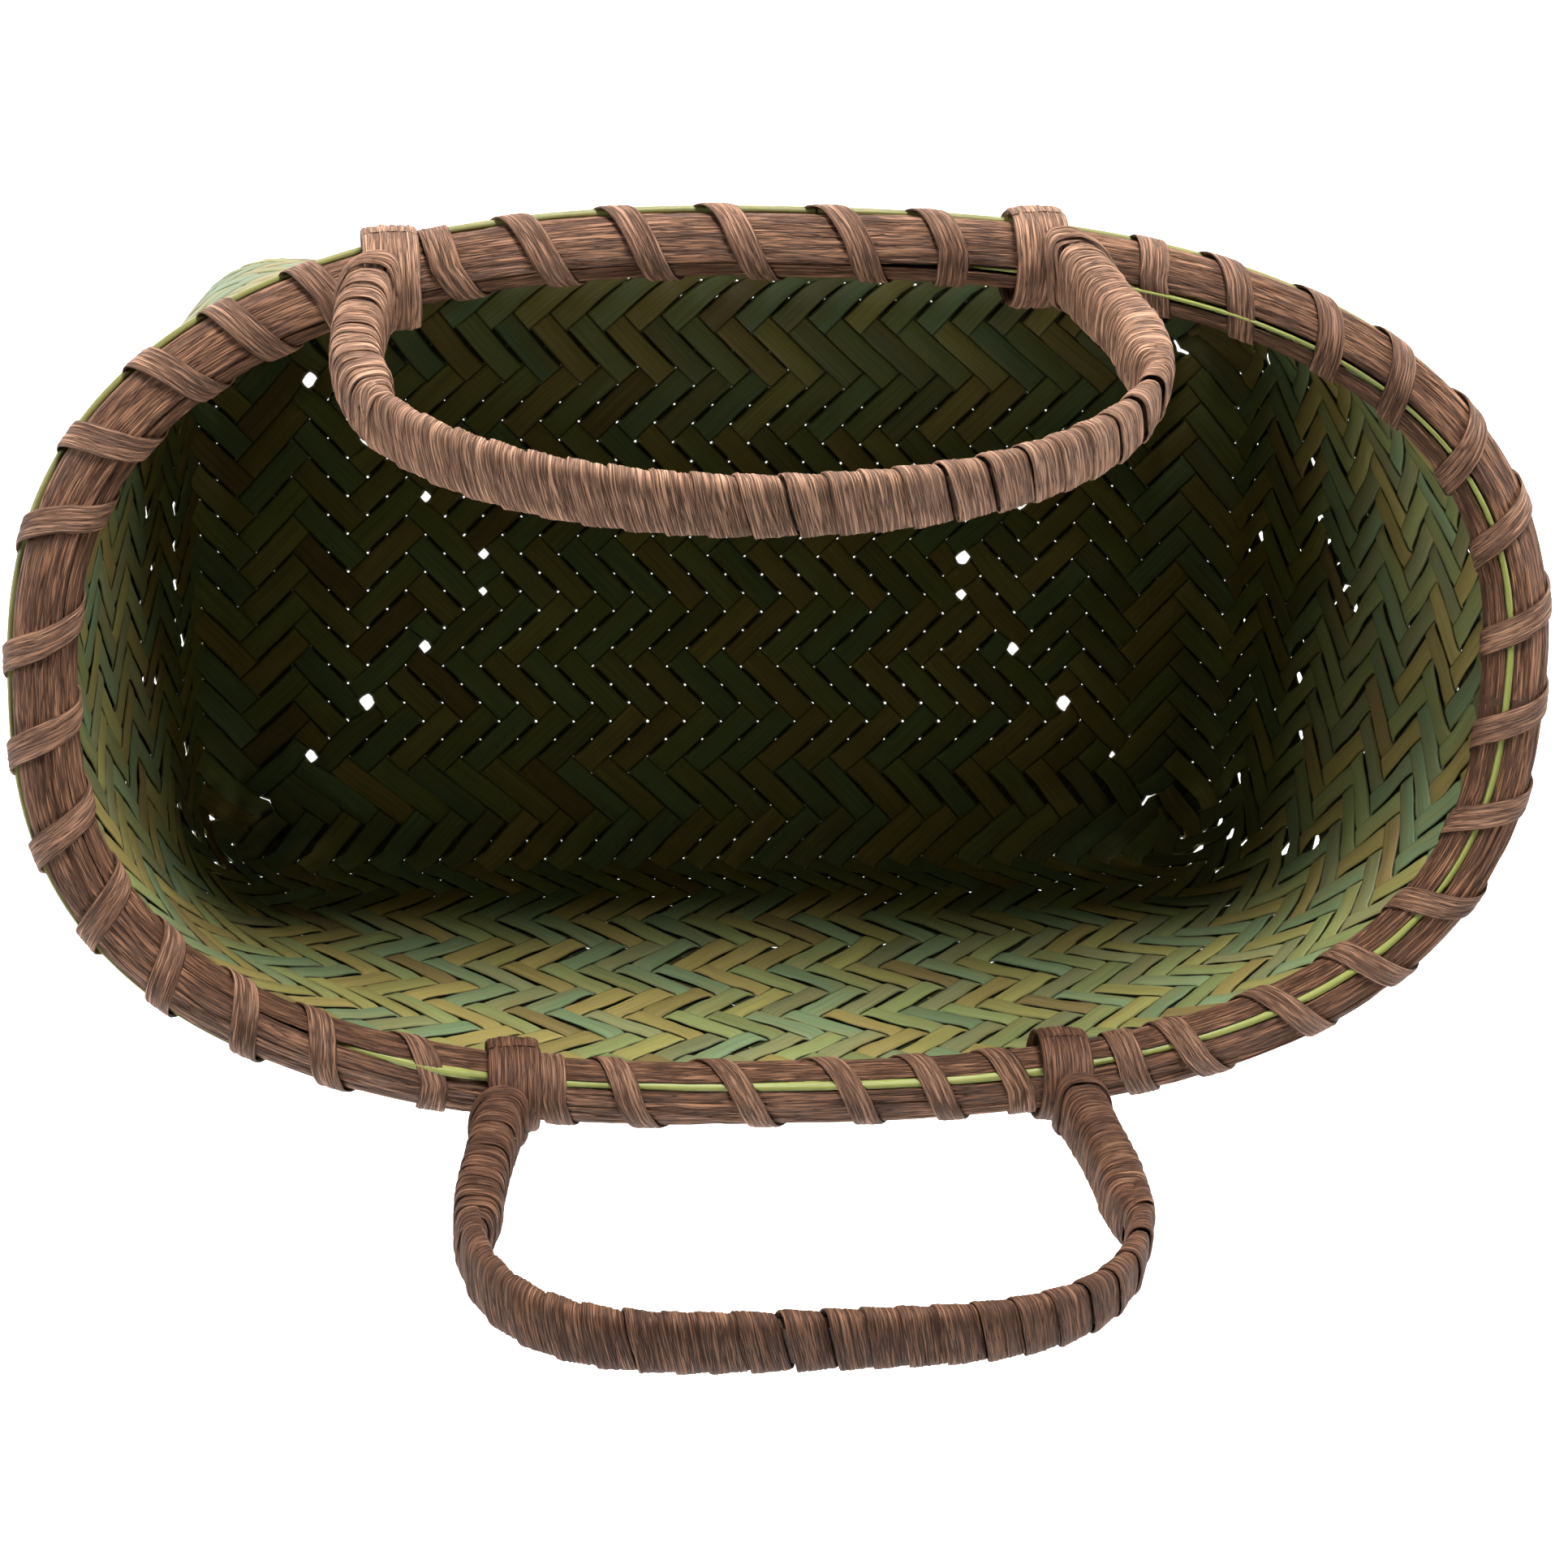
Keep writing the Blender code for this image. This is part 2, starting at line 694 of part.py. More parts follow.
def build_loop(name, x, finish, collection, hinge):
    """Bast loop that turns round the rim: a flat ring about the hinge line."""
    half = LOOP_WIDTH / 2
    cut = LOOP_CHAMFER
    profile = [(half - cut, LOOP_OUTER_RADIUS), (cut - half, LOOP_OUTER_RADIUS),
               (-half, LOOP_OUTER_RADIUS - cut), (-half, LOOP_BORE_RADIUS),
               (half, LOOP_BORE_RADIUS), (half, LOOP_OUTER_RADIUS - cut)]
    mesh = bpy.data.meshes.new(name)
    edges = [(i, (i + 1) % len(profile)) for i in range(len(profile))]
    mesh.from_pydata([(along, 0, radius) for along, radius in profile], edges, [])
    loop = add_object(name, mesh, finish, collection, hinge)
    loop.location = (x, 0, 0)
    screw = loop.modifiers.new("turn", "SCREW")
    screw.axis = "X"
    screw.steps = LOOP_STEPS
    screw.render_steps = LOOP_STEPS
    screw.use_merge_vertices = True
    screw.merge_threshold = FIT_GAP / 10
    return loop


def build_collar(name, line, run, finish, collection, hinge):
    """Short band round the root of a leg."""
    inner = cane_outline(2, FIT_GAP)
    outer = cane_outline(2, FIT_GAP + COLLAR_THICKNESS)
    half = COLLAR_HEIGHT / 2
    sections = []
    for low, high in zip(inner, outer):
        sections.append([line.place(run - half, *low), line.place(run + half, *low),
                         line.place(run + half, *high), line.place(run - half, *high)])
    return add_object(name, loft_mesh(name, sections, closed_path=True), finish,
                      collection, hinge)


def add_wrap(name, line, layers, width, start, end, finish, collection, hinge):
    """Strip wound round the cane, from one length along the bow to another."""
    inner = cane_outline(layers, WRAP_GAP)
    outer = cane_outline(layers, WRAP_GAP + WRAP_THICKNESS)
    first, last = start + width / 2, end - width / 2
    turns = int((last - first) / (width + WRAP_SPACE))
    sections = wound_strip(line.place, inner, outer, width, first, last, turns)
    return add_strip(name, sections, len(inner), finish, collection, hinge)


def clear_run(line, measure):
    """Length along the bow at which a collar's lower edge clears the loop."""
    outline = cane_outline(2, FIT_GAP + COLLAR_THICKNESS)
    run = 0.0
    while min(line.place(measure(run), *corner).z for corner in outline) \
            < LOOP_OUTER_RADIUS + FIT_GAP:
        run += FIT_GAP
    return run


def build_handle(name, bow, loop_runs, finishes, collection, cutters):
    """One handle: cane, loops, collars and wraps, all about its hinge."""
    frame = hinge_frame(loop_runs)
    hinge = add_hinge(name + "_hinge", frame, bow["lean_deg"], collection)
    feet = foot_positions(loop_runs)
    line = Bow(bow, feet[1])
    bast = finishes["bast_brown"]
    cane = build_cane(name + "_cane", line, finishes["cane_core"], collection, hinge)
    foot_cuts = [foot_cutter(f"{name}_foot_{i}", x, cutters, hinge) for i, x in enumerate(feet)]
    join_objects(cane, foot_cuts, "DIFFERENCE")
    leg_end = line.turned_back + WRAP_SPACE
    sides = (("left", feet[0], lambda run: run), ("right", feet[1], lambda run: line.length - run))
    for side, x, measure in sides:
        root = clear_run(line, measure)
        build_loop(f"{name}_{side}_loop", x, bast, collection, hinge)
        build_collar(f"{name}_{side}_collar", line, measure(root + COLLAR_HEIGHT / 2), bast,
                     collection, hinge)
        span = sorted((measure(root + COLLAR_HEIGHT + WRAP_SPACE), measure(leg_end)))
        add_wrap(f"{name}_{side}_leg_wrap", line, 2, LEG_WRAP_WIDTH, *span, bast,
                 collection, hinge)
    grip_start = leg_end + TURNED_BACK_TAPER
    add_wrap(name + "_grip_wrap", line, 1, GRIP_WRAP_WIDTH, grip_start,
             line.length - grip_start, bast, collection, hinge)
    return hinge


def loop_slot(name, run, cutters):
    """Slot in the wall under the rim that a handle's loop turns in."""
    half_gap = 2 * SLOT_CLEARANCE
    height = LOOP_THICKNESS + 2 * half_gap
    size = (LOOP_WIDTH + 4 * half_gap, 3 * WALL_THICKNESS, height)
    drop = LOOP_BORE_RADIUS + LOOP_THICKNESS / 2
    return box_cutter(name, size, rim_frame(run, WALL_OUT, -drop), cutters)


def main():
    clear_scene()
    basket = make_collection("foraging_basket")
    cutters = make_collection("cutters")
    finishes = {name: make_finish(name) for name in FINISHES}
    handles = (("back_handle", BACK_BOW, 1), ("front_handle", FRONT_BOW, -1))
    loop_runs, slots = [], []
    for name, bow, side in handles:
        runs = [RIM.run_at(-bow["left_foot"], side), RIM.run_at(bow["right_foot"], side)]
        build_handle(name, bow, runs, finishes, basket, cutters)
        slots += [loop_slot(f"{name}_slot_{i}", run, cutters) for i, run in enumerate(runs)]
        loop_runs += runs
    slots += build_lashings(loop_runs, finishes, basket, cutters)
    build_body(finishes, basket, slots)
    build_hoops(finishes, basket)


main()
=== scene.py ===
# %% [markdown]
# # A two-handled foraging basket of woven splints
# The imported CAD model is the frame: it says where the rim, the walls and the
# handle hinges are. This lesson dresses that frame with real strands: flat
# splints that pass over and under each other, a rim rolled in bast, a strip
# lashed round it, and two bows wound with more bast.

# %% The frame
import math
import random

import bpy
import numpy as np
from mathutils import Euler, Matrix, Vector, noise


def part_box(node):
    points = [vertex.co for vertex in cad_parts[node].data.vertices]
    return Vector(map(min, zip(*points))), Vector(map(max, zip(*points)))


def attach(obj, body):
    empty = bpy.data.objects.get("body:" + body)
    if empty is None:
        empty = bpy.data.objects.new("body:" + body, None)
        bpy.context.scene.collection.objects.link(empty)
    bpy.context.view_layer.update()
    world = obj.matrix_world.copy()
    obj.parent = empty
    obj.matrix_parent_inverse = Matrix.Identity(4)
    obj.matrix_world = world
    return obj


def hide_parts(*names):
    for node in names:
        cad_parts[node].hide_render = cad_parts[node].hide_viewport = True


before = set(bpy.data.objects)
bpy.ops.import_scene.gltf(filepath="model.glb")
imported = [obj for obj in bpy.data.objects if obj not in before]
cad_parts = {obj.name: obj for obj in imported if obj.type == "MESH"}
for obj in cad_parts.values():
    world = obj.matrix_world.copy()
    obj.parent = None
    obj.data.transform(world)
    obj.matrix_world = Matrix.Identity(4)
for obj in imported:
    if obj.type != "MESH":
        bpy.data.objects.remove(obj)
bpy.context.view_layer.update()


# %% Small helpers
def add_object(name, data):
    obj = bpy.data.objects.new(name, data)
    bpy.context.scene.collection.objects.link(obj)
    return obj


def carry(mesh, key, values, kind="FLOAT"):
    """Give each point of a mesh a number, a direction or a colour of its own."""
    field = {"FLOAT": "value", "FLOAT_VECTOR": "vector", "FLOAT_COLOR": "color"}[kind]
    layer = mesh.attributes.new(key, kind, "POINT")
    layer.data.foreach_set(field, np.asarray(values, dtype=np.float32).ravel())


def unit(vectors):
    """Vectors of length one."""
    return vectors / np.linalg.norm(vectors, axis=-1, keepdims=True)


def lengths_along(points):
    """Length of a line up to each of its points."""
    return np.concatenate([[0], np.cumsum(np.linalg.norm(np.diff(points, axis=0), axis=1))])


def wave(places, pace, *own):
    """A slow random wave along a strand, with numbers of its own."""
    return np.array([noise.noise(Vector((place * pace, *own))) for place in places])


# %% [markdown]
# ## Camera
# The basket is seen from almost straight above, from a little behind it, so
# the far rim is seen from above and the near wall shows its inside. A long
# lens keeps the sides from spreading.

# %% Camera
PHOTO_SIZE = 1932
FOCAL_PIXELS = 3600.0
SENSOR_WIDTH = 36.0
CAMERA_PLACE = Vector((-0.1169, 0.1649, 0.8602))
CAMERA_TURN = Euler([math.radians(angle) for angle in (-15.15, -8.51, 2.10)], "XYZ")

camera_data = bpy.data.cameras.new("camera")
camera_data.sensor_fit = "HORIZONTAL"
camera_data.sensor_width = SENSOR_WIDTH
camera_data.lens = FOCAL_PIXELS * SENSOR_WIDTH / PHOTO_SIZE
camera_data.clip_start = 0.01
camera = add_object("camera", camera_data)
camera.location = CAMERA_PLACE
camera.rotation_euler = CAMERA_TURN
bpy.context.scene.camera = camera
print("lens, mm:", round(camera_data.lens, 2))


def place_at_height(pixel_x, pixel_y, height):
    """Where the line of sight through a place in the photograph has a height."""
    sight = Vector((pixel_x - PHOTO_SIZE / 2, PHOTO_SIZE / 2 - pixel_y, -FOCAL_PIXELS))
    sight.rotate(CAMERA_TURN)
    return CAMERA_PLACE + sight * ((height - CAMERA_PLACE.z) / sight.z)


# %% [markdown]
# ## Floor and light
# The floor and the far backdrop are plain white and shine softly themselves,
# so that the small holes of the weave read white from above. One wide soft
# light stands behind the basket and low, with weaker ones at the sides and in
# front. They all reach over the rim at a low angle, so they light the handles
# and the upper walls' inside and leave the bottom in deep shade. The last one
# stands below the rim and lights only the front wall's outside.

# %% Node helpers
def add_node(tree, kind, inputs=None, **settings):
    """One node; an input is given a value, or a socket to link from."""
    node = tree.nodes.new(kind)
    for key, value in settings.items():
        setattr(node, key, value)
    for key, value in (inputs or {}).items():
        if isinstance(value, bpy.types.NodeSocket):
            tree.links.new(value, node.inputs[key])
        else:
            node.inputs[key].default_value = value
    return node


def math_node(tree, operation, first, second=0.0):
    return add_node(tree, "ShaderNodeMath", {0: first, 1: second}, operation=operation).outputs[0]


def glow_material(name):
    material = bpy.data.materials.new(name)
    material.use_nodes = True
    shader = material.node_tree.nodes["Principled BSDF"]
    shader.inputs["Base Color"].default_value = (0.9, 0.9, 0.9, 1.0)
    shader.inputs["Roughness"].default_value = 0.9
    shader.inputs["Emission Color"].default_value = (1.0, 1.0, 1.0, 1.0)
    shader.inputs["Emission Strength"].default_value = 1.0
    return material


# %% Floor and backdrop
FLOOR_HALF = 6.0
BACKDROP_HEIGHT = 8.0


def flat_face(name, corners, material):
    mesh = bpy.data.meshes.new(name)
    mesh.from_pydata(corners, [], [(0, 1, 2, 3)])
    mesh.materials.append(material)
    obj = add_object(name, mesh)
    return obj


white_paper = glow_material("white_paper")
far, high = FLOOR_HALF, BACKDROP_HEIGHT
flat_face("floor", [(-far, -far, 0), (far, -far, 0), (far, far, 0), (-far, far, 0)], white_paper)
for number, (x0, y0, x1, y1) in enumerate([(-far, far, far, far), (far, -far, -far, -far),
                                           (far, far, far, -far), (-far, -far, -far, far)]):
    wall = flat_face(f"backdrop_{number}", [(x0, y0, 0), (x1, y1, 0), (x1, y1, high),
                                            (x0, y0, high)], white_paper)
    wall.visible_diffuse = False
    wall.visible_glossy = False
    wall.visible_shadow = False

# %% Lights
def soft_light(name, place, target, size, power):
    light = bpy.data.lights.new(name, "AREA")
    light.shape = "DISK"
    light.size = size
    light.energy = power
    obj = add_object(name, light)
    obj.location = place
    obj.rotation_euler = (Vector(target) - Vector(place)).to_track_quat("-Z", "Y").to_euler()


soft_light("key_from_behind", (0.05, 1.35, 0.64), (0.0, -0.10, 0.12), 0.52, 39.0)
soft_light("from_the_left", (-1.70, 0.45, 0.50), (0.0, 0.0, 0.14), 0.45, 15.0)
soft_light("from_the_right", (1.75, 0.40, 0.52), (0.0, 0.0, 0.14), 0.45, 24.0)
soft_light("from_the_front", (-0.20, -1.30, 1.05), (0.0, 0.0, 0.18), 0.60, 16.0)
soft_light("low_in_front", (-0.35, -1.45, 0.14), (0.0, 0.0, 0.08), 0.30, 9.0)
world = bpy.data.worlds.new("studio")
bpy.context.scene.world = world
world.use_nodes = True
world.node_tree.nodes["Background"].inputs["Color"].default_value = (1.0, 1.0, 1.0, 1.0)
world.node_tree.nodes["Background"].inputs["Strength"].default_value = 0.02
bpy.context.scene.view_settings.view_transform = "Standard"

# %% [markdown]
# ## Finishes
# Splints are split from a green cane: each one has its own tint, from teal to
# straw, with fine fibres along it. Bast is a dry bark ribbon: it shrinks into
# long creases that run along the ribbon, and painted shade darkens their bottoms.
# Both patterns must follow the strand, so each strand carries its own measures:
# "along" and "across" in metres, "tint" as a colour, and "crease" from 0 to 1.

# %% Finish helpers
SHINE, STRAND_SHIFT = 0.25, 7.0


def new_finish(name, roughness):
    material = bpy.data.materials.new(name)
    material.use_nodes = True
    shader = material.node_tree.nodes["Principled BSDF"]
    shader.inputs["Roughness"].default_value = roughness
    shader.inputs["Specular IOR Level"].default_value = SHINE
    return material, material.node_tree, shader


def reading(tree, name, output="Fac"):
    """The value that a strand carries under a name."""
    return add_node(tree, "ShaderNodeAttribute", attribute_name=name).outputs[output]


def strand_noise(tree, along_scale, across_scale, detail):
    """Noise that is stretched along the strand; a strand's own number shifts it."""
    along = math_node(tree, "MULTIPLY", reading(tree, "along"), along_scale)
    across = math_node(tree, "MULTIPLY", reading(tree, "across"), across_scale)
    own = math_node(tree, "MULTIPLY", reading(tree, "strand"), STRAND_SHIFT)
    vector = add_node(tree, "ShaderNodeCombineXYZ", {"X": along, "Y": across, "Z": own})
    return add_node(tree, "ShaderNodeTexNoise", {"Vector": vector.outputs[0], "Scale": 1.0,
                                                 "Detail": detail, "Roughness": 0.6}).outputs["Fac"]


def blend_colours(tree, factor, first, second, mode="MIX"):
    """Two colours, or a colour laid over another, by a factor."""
    return add_node(tree, "ShaderNodeMix", {0: factor, 6: first, 7: second},
                    data_type="RGBA", blend_type=mode).outputs[2]


def grey_of(tree, value):
    return add_node(tree, "ShaderNodeCombineColor", {0: value, 1: value, 2: value}).outputs[0]


def spread(tree, value, low, high, new_low, new_high):
    """A value moved from one range to another, and kept within it."""
    return add_node(tree, "ShaderNodeMapRange",
                    {"Value": value, "From Min": low, "From Max": high, "To Min": new_low,
                     "To Max": new_high}).outputs[0]


def add_bump(tree, shader, height, distance):
    bump = add_node(tree, "ShaderNodeBump",
                    {"Height": height, "Distance": distance, "Strength": 1.0})
    tree.links.new(bump.outputs[0], shader.inputs["Normal"])


# %% Green splint
# Noises are given as waves per metre along and across the strand, and detail
SPLINT_FIBRES, SPLINT_PATCHES = (30.0, 1800.0, 5.0), (28.0, 160.0, 2.0)
# SLIT_SHADE and EDGE_SHADE are painted shade, for the slits between splints and along their edges
OUTSIDE_SHADE, SLIT_SHADE, EDGE_SHADE, WORN_SHARE = 0.70, 0.16, 0.45, 0.55
WORN_BROWN, SPLINT_RELIEF = (0.22, 0.165, 0.055, 1.0), 0.00012


def splint_finish():
    """The side that faces out of the basket is the darker skin of the cane. Where a face is covered by
    the next splint, painted shade darkens it, so slits read black; painted shade also darkens each
    splint along its edges."""
    material, tree, shader = new_finish("green_splint", 0.5)
    fibres = strand_noise(tree, *SPLINT_FIBRES)
    patches = strand_noise(tree, *SPLINT_PATCHES)
    worn = blend_colours(tree, spread(tree, patches, 0.45, 0.75, 0.0, WORN_SHARE),
                         reading(tree, "tint", "Color"), WORN_BROWN)
    shade = math_node(tree, "MULTIPLY", spread(tree, fibres, 0.25, 0.75, 0.62, 1.25),
                      spread(tree, reading(tree, "front"), -1.0, 1.0, 1.0, OUTSIDE_SHADE))
    # painted shade on faces covered by the next splint, so the slits read black
    covered = math_node(tree, "MULTIPLY", reading(tree, "front"), reading(tree, "tuck"))
    shade = math_node(tree, "MULTIPLY", shade, spread(tree, covered, -0.9, -0.2, SLIT_SHADE, 1.0))
    # painted shade along each splint's edges, for the dark lines between splints
    shade = math_node(tree, "MULTIPLY", shade,
                      spread(tree, reading(tree, "edge"), 0.90, 1.0, 1.0, EDGE_SHADE))
    colour = blend_colours(tree, 1.0, worn, grey_of(tree, shade), "MULTIPLY")
    tree.links.new(colour, shader.inputs["Base Color"])
    tree.links.new(spread(tree, fibres, 0.2, 0.8, 0.42, 0.62), shader.inputs["Roughness"])
    add_bump(tree, shader, fibres, SPLINT_RELIEF)
    return material


green_splint = splint_finish()

# %% Brown bast
BAST_FIBRES, BAST_PATCHES = (60.0, 3000.0, 5.0), (40.0, 420.0, 2.0)
THIN_LINES, FINEST_LINES, LINE_WIDTH = (34.0, 780.0, 2.0), (55.0, 1700.0, 2.0), 0.06
# painted shade: how far the creases, the finest lines and the edges of the turns are darkened towards
# the deep colour
CREASE_SHADE, FINEST_LINE_SHADE, TURN_EDGE_SHADE, BAST_RELIEF = 0.95, 0.75, 0.9, 0.0004


def thin_lines(tree, scales):
    """Thin lines along the strand, where a stretched noise passes its middle; the bast finish paints
    crease shade along them.
    """
    value = strand_noise(tree, *scales)
    away = math_node(tree, "ABSOLUTE", math_node(tree, "SUBTRACT", value, 0.5))
    return spread(tree, away, 0.0, LINE_WIDTH, 1.0, 0.0)


def bast_finish(name, light, dark, deep):
    """light and dark are two tones of the ribbon; deep is the painted shade at the bottom of a crease,
    along the thin crease lines and at the edges of the turns.
    """
    material, tree, shader = new_finish(name, 0.62)
    fibres = strand_noise(tree, *BAST_FIBRES)
    patches = strand_noise(tree, *BAST_PATCHES)
    tone = blend_colours(tree, spread(tree, patches, 0.35, 0.65, 0.0, 1.0), dark, light)
    shade = spread(tree, fibres, 0.25, 0.75, 0.60, 1.42)
    tone = blend_colours(tree, 1.0, tone, grey_of(tree, shade), "MULTIPLY")
    # painted shade at the bottom of each pressed-in crease
    pressed = math_node(tree, "POWER", reading(tree, "crease"), 2.5)
    # painted shade at the edges of a strip, where one turn lies over the next
    crease_shade_and_relief = spread(tree, reading(tree, "edge"), 0.88, 1.0, 0.0, TURN_EDGE_SHADE)
    # painted shade along the thin crease lines, which also set the bump
    for lines, depth in ((thin_lines(tree, THIN_LINES), CREASE_SHADE), (pressed, CREASE_SHADE),
                         (thin_lines(tree, FINEST_LINES), FINEST_LINE_SHADE)):
        crease_shade_and_relief = math_node(tree, "MAXIMUM", crease_shade_and_relief, math_node(tree, "MULTIPLY", lines, depth))
    # the deep colour is painted shade, mixed in by the crease and edge share
    colour = blend_colours(tree, crease_shade_and_relief, tone, deep)
    tree.links.new(colour, shader.inputs["Base Color"])
    tree.links.new(spread(tree, fibres, 0.2, 0.8, 0.5, 0.72), shader.inputs["Roughness"])
    height = math_node(tree, "SUBTRACT", math_node(tree, "MULTIPLY", fibres, 0.5), crease_shade_and_relief)
    add_bump(tree, shader, height, BAST_RELIEF)
    return material


rim_bast = bast_finish("rim_bast", (0.37, 0.182, 0.100, 1), (0.19, 0.086, 0.044, 1),
                       (0.025, 0.010, 0.006, 1))
lashing_bast = bast_finish("lashing_bast", (0.45, 0.242, 0.148, 1), (0.29, 0.148, 0.086, 1),
                           (0.035, 0.014, 0.008, 1))
# painted light and shade: the back handle's wraps, loops and collars are painted paler and the front
# handle's darker, for the light that falls more on the back handle
wrap_bast = {"back": bast_finish("wrap_bast_painted_light", (0.54, 0.305, 0.190, 1),
                                 (0.37, 0.195, 0.115, 1), (0.05, 0.021, 0.012, 1)),
             "front": bast_finish("wrap_bast_painted_shade", (0.28, 0.135, 0.075, 1),
                                  (0.17, 0.077, 0.041, 1), (0.025, 0.010, 0.006, 1))}

# %% Split cane and bare wood
CANE_FIBRES, CANE_ROUGHNESS, CANE_RELIEF = (22.0, 2200.0, 4.0), 0.4, 0.00015
WOOD_GRAIN, WOOD_ROUGHNESS, WOOD_RELIEF = 420.0, 0.6, 0.0002


def cane_fibres(tree):
    """Long fibres on a strand, in its own measures."""
    return strand_noise(tree, *CANE_FIBRES)


def wood_grain(tree):
    """A grain in the object's own measures."""
    place = add_node(tree, "ShaderNodeTexCoord").outputs["Object"]
    return add_node(tree, "ShaderNodeTexNoise", {"Vector": place, "Scale": WOOD_GRAIN,
                                                 "Detail": 5.0}).outputs["Fac"]


def grained_finish(name, pale, deep, grain_of, roughness, relief):
    material, tree, shader = new_finish(name, roughness)
    grain = grain_of(tree)
    colour = blend_colours(tree, spread(tree, grain, 0.3, 0.7, 0.0, 1.0), deep, pale)
    tree.links.new(colour, shader.inputs["Base Color"])
    add_bump(tree, shader, grain, relief)
    return material


CANE = (cane_fibres, CANE_ROUGHNESS, CANE_RELIEF)
WOOD = (wood_grain, WOOD_ROUGHNESS, WOOD_RELIEF)
bright_cane = grained_finish("bright_cane", (0.33, 0.35, 0.11, 1), (0.21, 0.23, 0.05, 1), *CANE)
olive_cane = grained_finish("olive_cane", (0.25, 0.235, 0.08, 1), (0.13, 0.13, 0.035, 1), *CANE)
bow_wood = grained_finish("bow_wood", (0.12, 0.065, 0.04, 1), (0.05, 0.028, 0.018, 1), *WOOD)
core_wood = grained_finish("core_wood", (0.46, 0.34, 0.20, 1), (0.30, 0.21, 0.12, 1), *WOOD)
print("finishes:", len(bpy.data.materials))

# %% [markdown]
# ## One tree for every strand
# Splints, lashing, loops and handle wraps are the same thing to make: a flat
# strand that follows a path and keeps one face to the outside. A short Python
# helper lays out each path; the Geometry Nodes tree sweeps the flat section
# along it and presses the creases in. Changing a size is then one number for
# hundreds of strands.

# %% The strand tree
STRAND_INPUTS = (("Width", 0.0074), ("Thickness", 0.0008), ("Crease depth", 0.0),
                 ("Creases per metre", 420.0), ("Crease stretch", 12.0), ("Lap", 0.0), ("Edge", 1.0),
                 ("Front share", 0.5), ("Crown", 6.0), ("Seed", 1.0))
STRAND_VALLEY, STRAND_SWELL, OWN_SHIFT, FACE_SHIFT = 0.07, 1.6, 9.0, 3.0


